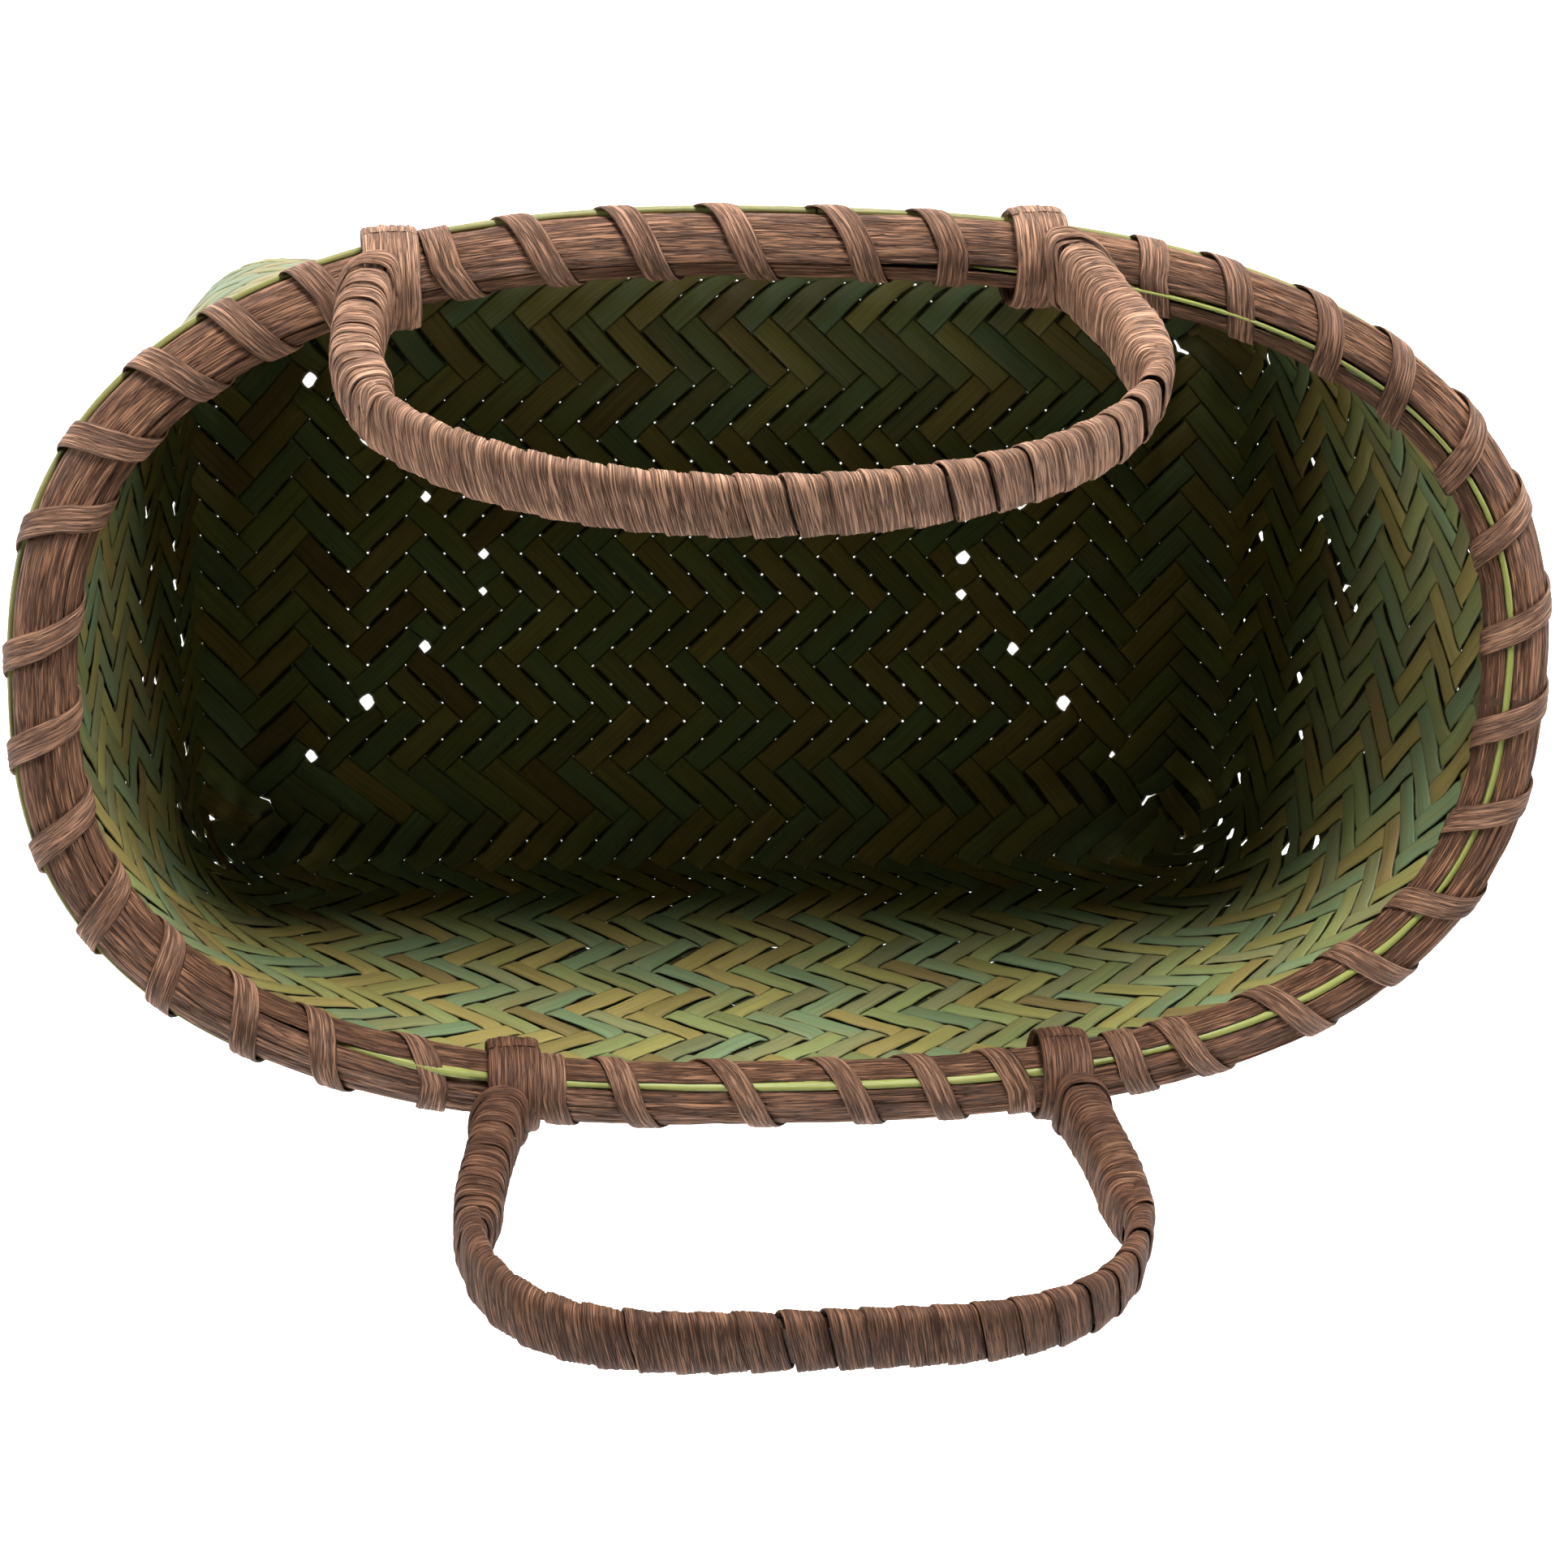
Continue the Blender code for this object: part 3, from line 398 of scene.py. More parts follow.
def strand_tree():
    tree = bpy.data.node_groups.new("flat_strands", "GeometryNodeTree")
    face = tree.interface
    face.new_socket("Paths", in_out="INPUT", socket_type="NodeSocketGeometry")
    for name, value in STRAND_INPUTS:
        face.new_socket(name, in_out="INPUT", socket_type="NodeSocketFloat").default_value = value
    face.new_socket("Section points", in_out="INPUT",
                    socket_type="NodeSocketInt").default_value = 6
    face.new_socket("Finish", in_out="INPUT", socket_type="NodeSocketMaterial")
    face.new_socket("Strands", in_out="OUTPUT", socket_type="NodeSocketGeometry")
    given = add_node(tree, "NodeGroupInput").outputs

    def named(name, kind="FLOAT"):
        return add_node(tree, "GeometryNodeInputNamedAttribute", {"Name": name},
                        data_type=kind).outputs["Attribute"]

    def store(geometry, name, value, kind="FLOAT"):
        return add_node(tree, "GeometryNodeStoreNamedAttribute",
                        {"Geometry": geometry, "Name": name, "Value": value},
                        data_type=kind, domain="POINT").outputs[0]

    def vector(operation, first, second):
        key = "Scale" if operation == "SCALE" else 1
        return add_node(tree, "ShaderNodeVectorMath", {0: first, key: second},
                        operation=operation).outputs[0]

    def calc(operation, first, second=0.0):
        return math_node(tree, operation, first, second)

    # The path remembers its own place and its length
    path = add_node(tree, "GeometryNodeMeshToCurve", {"Mesh": given["Paths"]}).outputs[0]
    length = add_node(tree, "GeometryNodeSplineParameter").outputs["Length"]
    path = store(path, "along", length)
    path = store(path, "centre", add_node(tree, "GeometryNodeInputPosition").outputs[0],
                 "FLOAT_VECTOR")

    # The section: a flat crowned loop, front face first
    ring = add_node(tree, "GeometryNodeCurvePrimitiveCircle",
                    {"Resolution": given["Section points"], "Radius": 1.0}).outputs["Curve"]
    index = add_node(tree, "GeometryNodeInputIndex").outputs[0]
    turn = calc("DIVIDE", index, given["Section points"])
    share = given["Front share"]
    front = calc("SUBTRACT", calc("DIVIDE", calc("MULTIPLY", turn, 2.0), share), 1.0)
    back = calc("SUBTRACT", 1.0, calc("DIVIDE", calc("MULTIPLY", calc("SUBTRACT", turn, share), 2.0),
                                      calc("SUBTRACT", 1.0, share)))
    across = calc("MINIMUM", front, back)
    side = calc("SIGN", calc("SUBTRACT", share, turn))
    bend = calc("POWER", calc("ABSOLUTE", across), given["Crown"])
    crown = calc("SQRT", calc("MAXIMUM", calc("SUBTRACT", 1.0, bend), 0.0))
    reach = calc("POWER", calc("ABSOLUTE", across), given["Edge"])
    across = calc("MULTIPLY", calc("SIGN", across), reach)
    out = calc("MULTIPLY", calc("MULTIPLY", calc("MULTIPLY", crown, side), given["Thickness"]), 0.5)
    out = calc("ADD", out, calc("MULTIPLY", across, given["Lap"]))
    wide = calc("MULTIPLY", calc("MULTIPLY", across, given["Width"]), 0.5)
    ring = store(ring, "edge", calc("ABSOLUTE", across))
    ring = store(ring, "across", wide)
    ring = store(ring, "front", side)
    ring = store(ring, "out", out)
    swept = add_node(tree, "GeometryNodeCurveToMesh",
                     {"Curve": path, "Profile Curve": ring, "Fill Caps": True}).outputs[0]

    # Every point goes to its place across the strand and out from its face
    reach = calc("MULTIPLY", named("across"), named("slim"))
    spot = vector("ADD", named("centre", "FLOAT_VECTOR"),
                  vector("SCALE", named("side", "FLOAT_VECTOR"), reach))
    spot = vector("ADD", spot, vector("SCALE", named("facing", "FLOAT_VECTOR"), named("out")))
    swept = add_node(tree, "GeometryNodeSetPosition", {"Geometry": swept, "Position": spot}).outputs[0]

    # The creases: long thin valleys where a stretched noise passes its middle
    scale = given["Creases per metre"]
    stretched = calc("DIVIDE", calc("MULTIPLY", named("along"), scale), given["Crease stretch"])
    sideways = calc("MULTIPLY", named("across"), scale)
    own = calc("ADD", calc("MULTIPLY", named("strand"), OWN_SHIFT),
               calc("MULTIPLY", named("front"), FACE_SHIFT))
    spot = add_node(tree, "ShaderNodeCombineXYZ", {"X": stretched, "Y": sideways, "Z": own})
    value = add_node(tree, "ShaderNodeTexNoise",
                     {"Vector": spot.outputs[0], "W": given["Seed"], "Scale": 1.0, "Detail": 1.0},
                     noise_dimensions="4D").outputs["Fac"]
    away = calc("SUBTRACT", value, 0.5)
    valley = spread(tree, calc("ABSOLUTE", away), 0.0, STRAND_VALLEY, 1.0, 0.0)
    # the valley share is kept as "crease"; the bast finishes paint shade by it
    swept = store(swept, "crease", valley)
    push = calc("SUBTRACT", calc("MULTIPLY", away, STRAND_SWELL), valley)
    normal = add_node(tree, "GeometryNodeInputNormal").outputs[0]
    offset = vector("SCALE", normal, calc("MULTIPLY", push, given["Crease depth"]))
    swept = add_node(tree, "GeometryNodeSetPosition",
                     {"Geometry": swept, "Offset": offset}).outputs[0]
    swept = add_node(tree, "GeometryNodeSetShadeSmooth", {"Geometry": swept}).outputs[0]
    swept = add_node(tree, "GeometryNodeRealizeInstances", {"Geometry": swept}).outputs[0]
    swept = add_node(tree, "GeometryNodeSetMaterial",
                     {"Geometry": swept, "Material": given["Finish"]}).outputs[0]
    add_node(tree, "NodeGroupOutput", {"Strands": swept})
    return tree


STRAND_TREE = strand_tree()
print("strand tree nodes:", len(STRAND_TREE.nodes))

# %% From paths to strands
def sides_of(path):
    """Unit directions across a strand; given ones are only turned the right way."""
    across = unit(np.cross(np.gradient(path["points"], axis=0), path["facing"]))
    if "side" not in path:
        return across
    return path["side"] * (1 if np.sum(path["side"] * across) > 0 else -1)


def path_mesh(name, paths):
    """Paths as loose edges; each point carries its directions, tint and number."""
    mesh = bpy.data.meshes.new(name)
    counts = [len(path["points"]) for path in paths]
    edges, start = [], 0
    for count in counts:
        edges += [(start + i, start + i + 1) for i in range(count - 1)]
        start += count
    mesh.from_pydata(np.concatenate([path["points"] for path in paths]).tolist(), edges, [])
    carry(mesh, "facing", np.concatenate([path["facing"] for path in paths]), "FLOAT_VECTOR")
    carry(mesh, "side", np.concatenate([sides_of(path) for path in paths]), "FLOAT_VECTOR")
    for key, usual in (("slim", 1.0), ("tuck", 0.0)):
        carry(mesh, key, np.concatenate([np.broadcast_to(path.get(key, usual), count)
                                         for path, count in zip(paths, counts)]))
    carry(mesh, "tint", np.concatenate([np.tile((*path.get("tint", (1, 1, 1)), 1.0), (count, 1))
                                        for path, count in zip(paths, counts)]), "FLOAT_COLOR")
    carry(mesh, "strand", np.repeat(np.arange(1.0, len(paths) + 1), counts))
    return mesh


def make_strands(name, paths, finish, body, stands_for, section_points=6, **sizes):
    """Strands along the paths as one plain mesh that rides on a body."""
    obj = add_object(name, path_mesh(name, paths))
    modifier = obj.modifiers.new("strands", "NODES")
    modifier.node_group = STRAND_TREE
    wanted = {"Finish": finish, "Section points": section_points}
    wanted.update({key.replace("_", " "): float(value) for key, value in sizes.items()})
    for item in STRAND_TREE.interface.items_tree:
        if item.in_out == "INPUT" and item.name in wanted:
            modifier[item.identifier] = wanted.pop(item.name)
    assert not wanted, wanted
    graph = bpy.context.evaluated_depsgraph_get()
    plain = bpy.data.meshes.new_from_object(obj.evaluated_get(graph))
    obj.modifiers.remove(modifier)
    old, obj.data = obj.data, plain
    bpy.data.meshes.remove(old)
    plain.name = name
    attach(obj, body)
    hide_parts(*stands_for)
    print(name, "strands:", len(paths), "triangles:",
          sum(len(p.vertices) - 2 for p in plain.polygons))


# %% [markdown]
# ## The lines that everything follows
# The bottom is a rectangle with round corners, the rim is an oval that dips a
# little at the handles. Both are laid out by quarter turns, so a strand that
# leaves a place on the bottom's edge meets the rim at the same share of the
# quarter. These helpers work on whole arrays of points at once.

# %% Sizes of the frame
BASE_LENGTH, BASE_WIDTH, BASE_RADIUS = 0.316, 0.182, 0.028
FOLD_RADIUS, WALL_HALF, WALL_BELLY = 0.011, 0.0011, 0.0025
RIM_LENGTH, RIM_WIDTH, RIM_HEIGHT, RIM_SAG = 0.3884, 0.2370, 0.1520, 0.0050
RIM_HALF_WIDTH, RIM_HALF_HEIGHT, OVAL_POWER = 0.0082, 0.0072, 2.55
WALL_OUT, NECK_DROP = -0.0025, 0.0145
OVAL_POINTS, TURN_POINTS = 1501, 4801


# %% The oval of the rim
def quarter_share(turn):
    """How far a turn has gone from the X axis to the Y axis in its quarter, and the
    signs of X and Y there."""
    quarter = np.floor(turn).astype(int) % 4
    share = turn - np.floor(turn)
    flip_x = np.where((quarter == 1) | (quarter == 2), -1.0, 1.0)
    flip_y = np.where(quarter >= 2, -1.0, 1.0)
    return np.where(quarter % 2 == 1, 1 - share, share), flip_x, flip_y


class RimLine:
    """The rim's middle line, measured along its length from the +X end."""

    def __init__(self):
        half_length = RIM_LENGTH / 2 - RIM_HALF_WIDTH
        half_width = RIM_WIDTH / 2 - RIM_HALF_WIDTH
        angle = np.linspace(0, math.pi / 2, OVAL_POINTS)
        x = half_length * np.abs(np.cos(angle)) ** (2 / OVAL_POWER)
        y = half_width * np.sin(angle) ** (2 / OVAL_POWER)
        x[-1] = 0.0
        run = np.concatenate([[0], np.cumsum(np.hypot(np.diff(x), np.diff(y)))])
        self.quarter = (run / run[-1], x, y)
        self.half = (half_length, half_width)
        self.turns = np.linspace(0, 4, TURN_POINTS)
        self.points, _ = self.by_turn(self.turns)
        self.runs = lengths_along(self.points)
        self.length = self.runs[-1]

    def by_turn(self, turn):
        """Middle of the rim and its outward direction at shares of the turn."""
        share, flip_x, flip_y = quarter_share(np.asarray(turn, float))
        x = np.interp(share, self.quarter[0], self.quarter[1]) * flip_x
        y = np.interp(share, self.quarter[0], self.quarter[2]) * flip_y
        a, b = self.half
        along, across = (x / a) ** 2, (y / b) ** 2
        z = RIM_HEIGHT + RIM_SAG * (along - across) / (along + across)
        power = OVAL_POWER - 1
        out = np.stack([np.sign(x) * np.abs(x / a) ** power / a,
                        np.sign(y) * np.abs(y / b) ** power / b, np.zeros_like(x)], axis=-1)
        return np.stack([x, y, z], axis=-1), unit(out)

    def place(self, run, out, up):
        """Points at lengths along the rim, outward from its middle, and above it."""
        turn = np.interp(np.asarray(run, float) % self.length, self.runs, self.turns)
        middle, outward = self.by_turn(turn)
        raised = np.stack([np.zeros_like(turn), np.zeros_like(turn),
                           np.broadcast_to(up, turn.shape)], axis=-1)
        return middle + outward * np.broadcast_to(out, turn.shape)[..., None] + raised

    def nearest_run(self, x, y):
        apart = np.hypot(self.points[:, 0] - x, self.points[:, 1] - y)
        return self.runs[int(np.argmin(apart))]


RIM = RimLine()
print("rim length, mm:", round(RIM.length * 1000, 1))

# %% [markdown]
# ## The woven body
# The weaver works on a square lattice laid at 45 degrees. On the bottom, one
# set of splints runs one way and the other set across it. Every splint passes
# over three and under three, and the count changes with the distance from the
# bottom's edge, so the bottom shows nested rectangles and the walls show level
# rows of arrows. The same splints turn up at the edge and climb to the rim.
# A rule this regular is laid out best by walking each splint over the lattice
# and letting the tree sweep it.

# %% Lattice and surface
STEP = 0.008 / math.sqrt(2)
COLUMNS, ROWS = 56, 32
QUARTER = (COLUMNS + ROWS) // 2
FOLD_LENGTH = math.pi / 2 * FOLD_RADIUS
WALL_STEPS, STEP_LOSS, PAST_RIM = 30, 0.0035, 0.001
SMALLEST_CORNER, FOLD_BLEND = 0.0002, 0.030


def climb_of(level):
    """Length up from the bottom's edge at a count of lattice steps. On the wall
    the steps get a little lower towards the rim."""
    return STEP * (level - STEP_LOSS * np.maximum(level, 0) ** 2)


def rounded_edge(turn, inset):
    """Points of the bottom's outline, drawn in by an inset, and outward directions."""
    share, flip_x, flip_y = quarter_share(turn)
    radius = np.maximum(BASE_RADIUS - inset, SMALLEST_CORNER)
    side = BASE_WIDTH / 2 - inset - radius
    corner = math.pi / 2 * radius
    run = share * (side + corner + BASE_LENGTH / 2 - inset - radius)
    angle = np.clip((run - side) / radius, 0, math.pi / 2)
    x = (BASE_LENGTH / 2 - inset - radius + radius * np.cos(angle)
         - np.maximum(run - side - corner, 0))
    y = np.clip(run, 0, side) + radius * np.sin(angle)
    return x * flip_x, y * flip_y, np.cos(angle) * flip_x, np.sin(angle) * flip_y


def wall_line(turn):
    """The wall's foot over the fold, its neck under the rim, and the rim's outward
    direction."""
    rim, rim_out = RIM.by_turn(turn)
    neck = rim + rim_out * WALL_OUT
    neck[..., 2] -= NECK_DROP
    x, y = rounded_edge(turn, np.zeros_like(turn))[:2]
    return np.stack([x, y, np.full_like(x, WALL_HALF + FOLD_RADIUS)], axis=-1), neck, rim_out


def wall_length(turn):
    """Length of the wall from the fold's end up to just over the rim's middle."""
    foot, neck, _ = wall_line(turn)
    return np.linalg.norm(neck - foot, axis=-1) + NECK_DROP + PAST_RIM


def basket_surface(turn, climb):
    """Middle surface of the weave: turn round the basket, and length up from the
    bottom's edge, less than zero on the bottom. Gives points and outward normals."""
    turn, climb = np.broadcast_arrays(np.asarray(turn, float), np.asarray(climb, float))
    half = FOLD_LENGTH / 2
    fold = np.clip((climb + half) / FOLD_RADIUS, 0, math.pi / 2)
    inside = np.maximum(-climb - half, 0)
    inset = FOLD_RADIUS * (1 - np.sin(fold)) + inside
    shift = (FOLD_RADIUS - half) * np.clip(1 - inside / FOLD_BLEND, 0, 1)
    inset = np.where(climb < -half, -climb * BASE_WIDTH / (ROWS * STEP) + shift, inset)
    x, y, out_x, out_y = rounded_edge(turn, inset)
    low = np.stack([x, y, WALL_HALF + FOLD_RADIUS * (1 - np.cos(fold))], axis=-1)
    out = np.stack([out_x, out_y, np.zeros_like(x)], axis=-1)
    low_normal = out * np.sin(fold)[..., None]
    low_normal[..., 2] = -np.cos(fold)
    foot, neck, rim_out = wall_line(turn)
    rise = neck - foot
    long = np.linalg.norm(rise, axis=-1)
    up = np.maximum(climb - half, 0)
    share = np.clip(up / long, 0, 1)
    belly = WALL_BELLY * np.sin(math.pi * share)
    wall = foot + rise * share[..., None] + out * belly[..., None]
    wall[..., 2] += np.maximum(up - long, 0)
    slope = rise / long[..., None] + out * (WALL_BELLY * math.pi / long
                                            * np.cos(math.pi * share))[..., None]
    slope = unit(np.where((up > long)[..., None], np.array([0.0, 0.0, 1.0]), slope))
    level = out * (1 - share[..., None]) + rim_out * share[..., None]
    wall_normal = unit(level - slope * np.sum(level * slope, axis=-1, keepdims=True))
    on_wall = (climb > half)[..., None]
    return np.where(on_wall, wall, low), np.where(on_wall, wall_normal, low_normal)


# %% Walking a splint over the lattice
def bottom_turn(m, n):
    """Turn and level of a lattice place on the bottom, and whether it lies in the
    front or back field."""
    x, y = m - COLUMNS / 2, n - ROWS / 2
    depth = np.minimum(COLUMNS / 2 - np.abs(x), ROWS / 2 - np.abs(y))
    total = np.maximum(QUARTER - 2 * depth, 1e-6)
    at_end = COLUMNS / 2 - np.abs(x) <= ROWS / 2 - np.abs(y)
    run = np.where(at_end, np.abs(y), ROWS / 2 - depth + COLUMNS / 2 - depth - np.abs(x))
    share = np.clip(run / total, 0, 1)
    quarter = np.where(y >= 0, np.where(x >= 0, 0, 1), np.where(x < 0, 2, 3))
    turn = np.where(quarter % 2 == 0, quarter + share, quarter + 1 - share)
    return turn % 4, -depth, ~at_end


def wall_start(m, n):
    """Place on the edge as a count of lattice steps round the basket."""
    return bottom_turn(float(m), float(n))[0] * QUARTER


def splint_ends(number, falling):
    """The two edge places of a splint: falling ones have m + n fixed, others m - n."""
    if falling:
        low, high = max(0, number - ROWS), min(COLUMNS, number)
        return (low, number - low), (high, number - high)
    low, high = max(0, number), min(COLUMNS, ROWS + number)
    return (low, low - number), (high, high - number)


def lies_inside(level, rises):
    """Whether a splint is the upper one, seen from inside, at a crossing."""
    return (math.floor((level - 1) / 3) % 2 == 0) == rises


def walk_splint(number, falling):
    """Lattice places of one splint from rim to rim, with its side at each."""
    (m0, n0), (m1, n1) = splint_ends(number, falling)
    steps = m1 - m0
    turns, levels, sides = [], [], []

    def climb_wall(m, n, counts):
        start, rises = wall_start(m, n), edge_rises(m, n, falling)
        for k in counts:
            turns.append(start + (k if rises else -k))
            levels.append(k)
            sides.append(-1 if lies_inside(k, rises) else 1)

    climb_wall(m0, n0, range(WALL_STEPS, 0, -1))
    for i in range(steps + 1):
        m, n = m0 + i, n0 + (-i if falling else i)
        turn, level, long_side = bottom_turn(float(m), float(n))
        turns.append(turn * QUARTER)
        levels.append(level)
        sides.append(-1 if lies_inside(round(level), bool(long_side) == falling) else 1)
    climb_wall(m1, n1, range(1, WALL_STEPS + 1))
    return steps, turns, levels, sides


def edge_rises(m, n, falling):
    """Whether a splint goes on round the basket the positive way as it climbs."""
    return bool(bottom_turn(float(m), float(n))[2]) == falling


print("splints each way:", QUARTER)

# %% [markdown]
# Between two crossings a splint keeps to its side and changes over in the
# narrow gap, so each step of the lattice gets a few points: flat over the
# strand below, then a quick dip. Tints are drawn with a fixed seed from the
# colours of green cane.

# %% Holes of the weave
DIAGONAL_HOLES, DIAGONAL_STEP, DIAGONAL_SIZES = 5, 3, (0.45, 1.15)
CORNER_CHANCE, CORNER_LEVELS, CORNER_SIDES, CORNER_SIZES = 0.5, (0, 2, 4, 6), (-2, 0, 2), (0.5, 1.0)
END_CHANCE, END_REACH, END_LEVELS, END_SIZES = 0.09, 13, range(2, 15), (0.6, 1.2)
HOLE_CORE, HOLE_FADE, NO_HOLE = 0.707, 0.95, 9.0


def weave_holes():
    """Lattice places where the weave is looser: field (0 bottom, 1 wall), two
    lattice measures, and how wide the hole is."""
    shuffle = random.Random(5)
    holes = []
    for k in range(DIAGONAL_STEP, DIAGONAL_STEP * DIAGONAL_HOLES + 1, DIAGONAL_STEP):
        for m in (k, COLUMNS - k):
            for n in (k, ROWS - k):
                holes.append((0, m, n, shuffle.uniform(*DIAGONAL_SIZES)))
    corners = (ROWS / 2, ROWS / 2 + COLUMNS, 1.5 * ROWS + COLUMNS, 1.5 * ROWS + 2 * COLUMNS)
    for corner in corners:
        for level in CORNER_LEVELS:
            for side in CORNER_SIDES:
                if shuffle.random() < CORNER_CHANCE:
                    holes.append((1, corner + side, level, shuffle.uniform(*CORNER_SIZES)))
    for end in (0, 2 * QUARTER):
        for s in range(-END_REACH, END_REACH + 1):
            for level in END_LEVELS:
                if (s + level) % 2 == 0 and shuffle.random() < END_CHANCE:
                    holes.append((1, (end + s) % (4 * QUARTER), level, shuffle.uniform(*END_SIZES)))
    return np.array(holes)


HOLES = weave_holes()
print("holes:", len(HOLES))


def hole_push(field, first, second):
    """Weight of the nearest hole at each place, and the lattice way to it."""
    apart = np.stack([HOLES[:, 1][None] - first[:, None], HOLES[:, 2][None] - second[:, None]], -1)
    around = 4 * QUARTER
    wrapped = (apart[..., 0] + around / 2) % around - around / 2
    apart[..., 0] = np.where(HOLES[:, 0][None] == 1, wrapped, apart[..., 0])
    distance = np.linalg.norm(apart, axis=-1)
    distance = np.where(HOLES[:, 0][None] == field[:, None], distance, NO_HOLE)
    nearest = np.argmin(distance, axis=1)
    rows = np.arange(len(first))
    weight = np.clip(1 - (distance[rows, nearest] - HOLE_CORE) / HOLE_FADE, 0, 1) ** 2
    return weight * HOLES[nearest, 3], apart[rows, nearest]


# %% Splint paths
SPLINT_WIDTH, SPLINT_THICKNESS, SPLINT_SWING = 0.00752, 0.00075, 0.00050
HOLE_SHIFT, HOLE_SLIM = 0.0008, 0.20
WALL_WIDER, TUCK_WIDER, UNEVEN, TOP_NARROWER = 0.055, 0.080, 0.19, 0.10
SWAY, WALL_SWAY, WALL_STARTS, SWAY_PACE, UNEVEN_PACE = 0.00018, 0.00130, 0.05, 0.11, 0.19
WIDTHS, SHADES = (0.975, 1.02), (0.8, 1.2)
SHARES = (0.0, 0.32, 0.5, 0.68)
CHANGE = (0.0, 0.10, 0.5, 0.90)
TINTS = [((0.155, 0.215, 0.105), 4), ((0.19, 0.220, 0.080), 4), ((0.235, 0.220, 0.068), 4),
         ((0.255, 0.205, 0.065), 3), ((0.20, 0.150, 0.055), 2), ((0.18, 0.190, 0.085), 2)]


def lattice_ahead(field, first, second, toward, points):
    """The way to the nearest hole as a direction in space, by a small step on the
    surface towards it."""
    step = 0.1
    m, n = first + toward[:, 0] * step, second + toward[:, 1] * step
    turn, level, _ = bottom_turn(m, n)
    turn = np.where(field == 1, m / QUARTER % 4, turn)
    level = np.where(field == 1, n, level)
    return basket_surface(turn, climb_of(level))[0] - points


def splint_places(number, falling):
    """Fine places of one splint: turn round the basket, climb, field and two lattice
    measures, and how far it is tucked under."""
    steps, turns, levels, sides = walk_splint(number, falling)
    (m0, n0), _ = splint_ends(number, falling)
    places = []
    for i in range(len(turns) - 1):
        first, last = turns[i], turns[i + 1]
        if abs(last - first) > QUARTER:
            last += 4 * QUARTER * (1 if first > last else -1)
        for share, change in zip(SHARES, CHANGE):
            tuck = sides[i] + (sides[i + 1] - sides[i]) * change
            if WALL_STEPS <= i < WALL_STEPS + steps:
                m = m0 + (i - WALL_STEPS) + share
                n = n0 + ((i - WALL_STEPS) + share) * (-1 if falling else 1)
                turn, level, _ = bottom_turn(m, n)
                places.append((turn, level, 0, m, n, tuck))
            else:
                run = first + (last - first) * share
                level = levels[i] + (levels[i + 1] - levels[i]) * share
                places.append((run / QUARTER % 4, level, 1, run % (4 * QUARTER), level, tuck))
    places = np.array(places, float)
    places[:, 1] = climb_of(places[:, 1])
    return places[places[:, 1] - FOLD_LENGTH / 2 < wall_length(places[:, 0])].T


def splint_path(number, falling, shuffle):
    turn, climb, field, first, second, tuck = splint_places(number, falling)
    points, normals = basket_surface(turn, climb)
    side = unit(np.cross(np.gradient(points, axis=0), normals))
    weight, toward = hole_push(field, first, second)
    ahead = lattice_ahead(field, first, second, toward, points)
    away = -np.sign(np.sum(ahead * side, axis=1))
    high = np.clip(climb / WALL_STARTS, 0, 1)
    steps = range(len(points))
    wander = wave(steps, SWAY_PACE, number * 3.7, 9.0 if falling else 1.0)
    wander = wander * (SWAY + (WALL_SWAY - SWAY) * high)
    points = points + normals * (tuck * SPLINT_SWING)[:, None]
    points = points + side * (away * weight * HOLE_SHIFT + wander)[:, None]
    uneven = wave(steps, UNEVEN_PACE, number * 2.3, 5.0 if falling else 3.0) * UNEVEN
    uneven = np.where(tuck < 0, uneven, np.abs(uneven) * 0.5)
    slim = (shuffle.uniform(*WIDTHS) + (WALL_WIDER + TUCK_WIDER * tuck + uneven) * high
            - HOLE_SLIM * weight - TOP_NARROWER * np.clip(climb / RIM_HEIGHT, 0, 1))
    colour = shuffle.choice([colour for colour, share in TINTS for _ in range(share)])
    shade = shuffle.uniform(*SHADES)
    return {"points": points, "facing": normals, "slim": slim, "tuck": tuck,
            "tint": tuple(c * shade for c in colour)}


# %% Splints
def weave(falling, name, seed):
    shuffle = random.Random(seed)
    first = 1 if falling else 1 - ROWS
    paths = [splint_path(first + 2 * i, falling, shuffle) for i in range(QUARTER)]
    make_strands(name, paths, green_splint, "basket", ("woven_basket",), Width=SPLINT_WIDTH,
                 Thickness=SPLINT_THICKNESS, Edge=0.25)


weave(True, "splints_one_way", 11)
weave(False, "splints_other_way", 23)

# %% [markdown]
# ## The rim
# Two hoops clamp the top of the weave. Each is rolled in bast whose creases
# run along the hoop, and a bright strip of split cane fills the groove between
# them. At the left and along the left half of the back the outer cover is pulled
# over that groove and hides it. The covers are skinned from a slice of the rim's
# oval, and the creases are pressed in point by point with a noise that is
# stretched along the rim.

# %% Covers of the two hoops
COVER_STEPS, COVER_ROUND, TIP_MARGIN, TIP_SQUARE = 440, 0.04, 0.0002, 0.03
CREASE_SPACING, CREASE_LENGTH, CREASE_DEPTH = 0.0015, 0.030, 0.00042
VALLEY_WIDTH, SEAM_LENGTH = 0.16, 0.04
CLOSED_FRONT, CLOSED_BACK, CLOSED_FADE, CLOSED_DEPTH = -0.09, 0.05, 0.05, 0.10


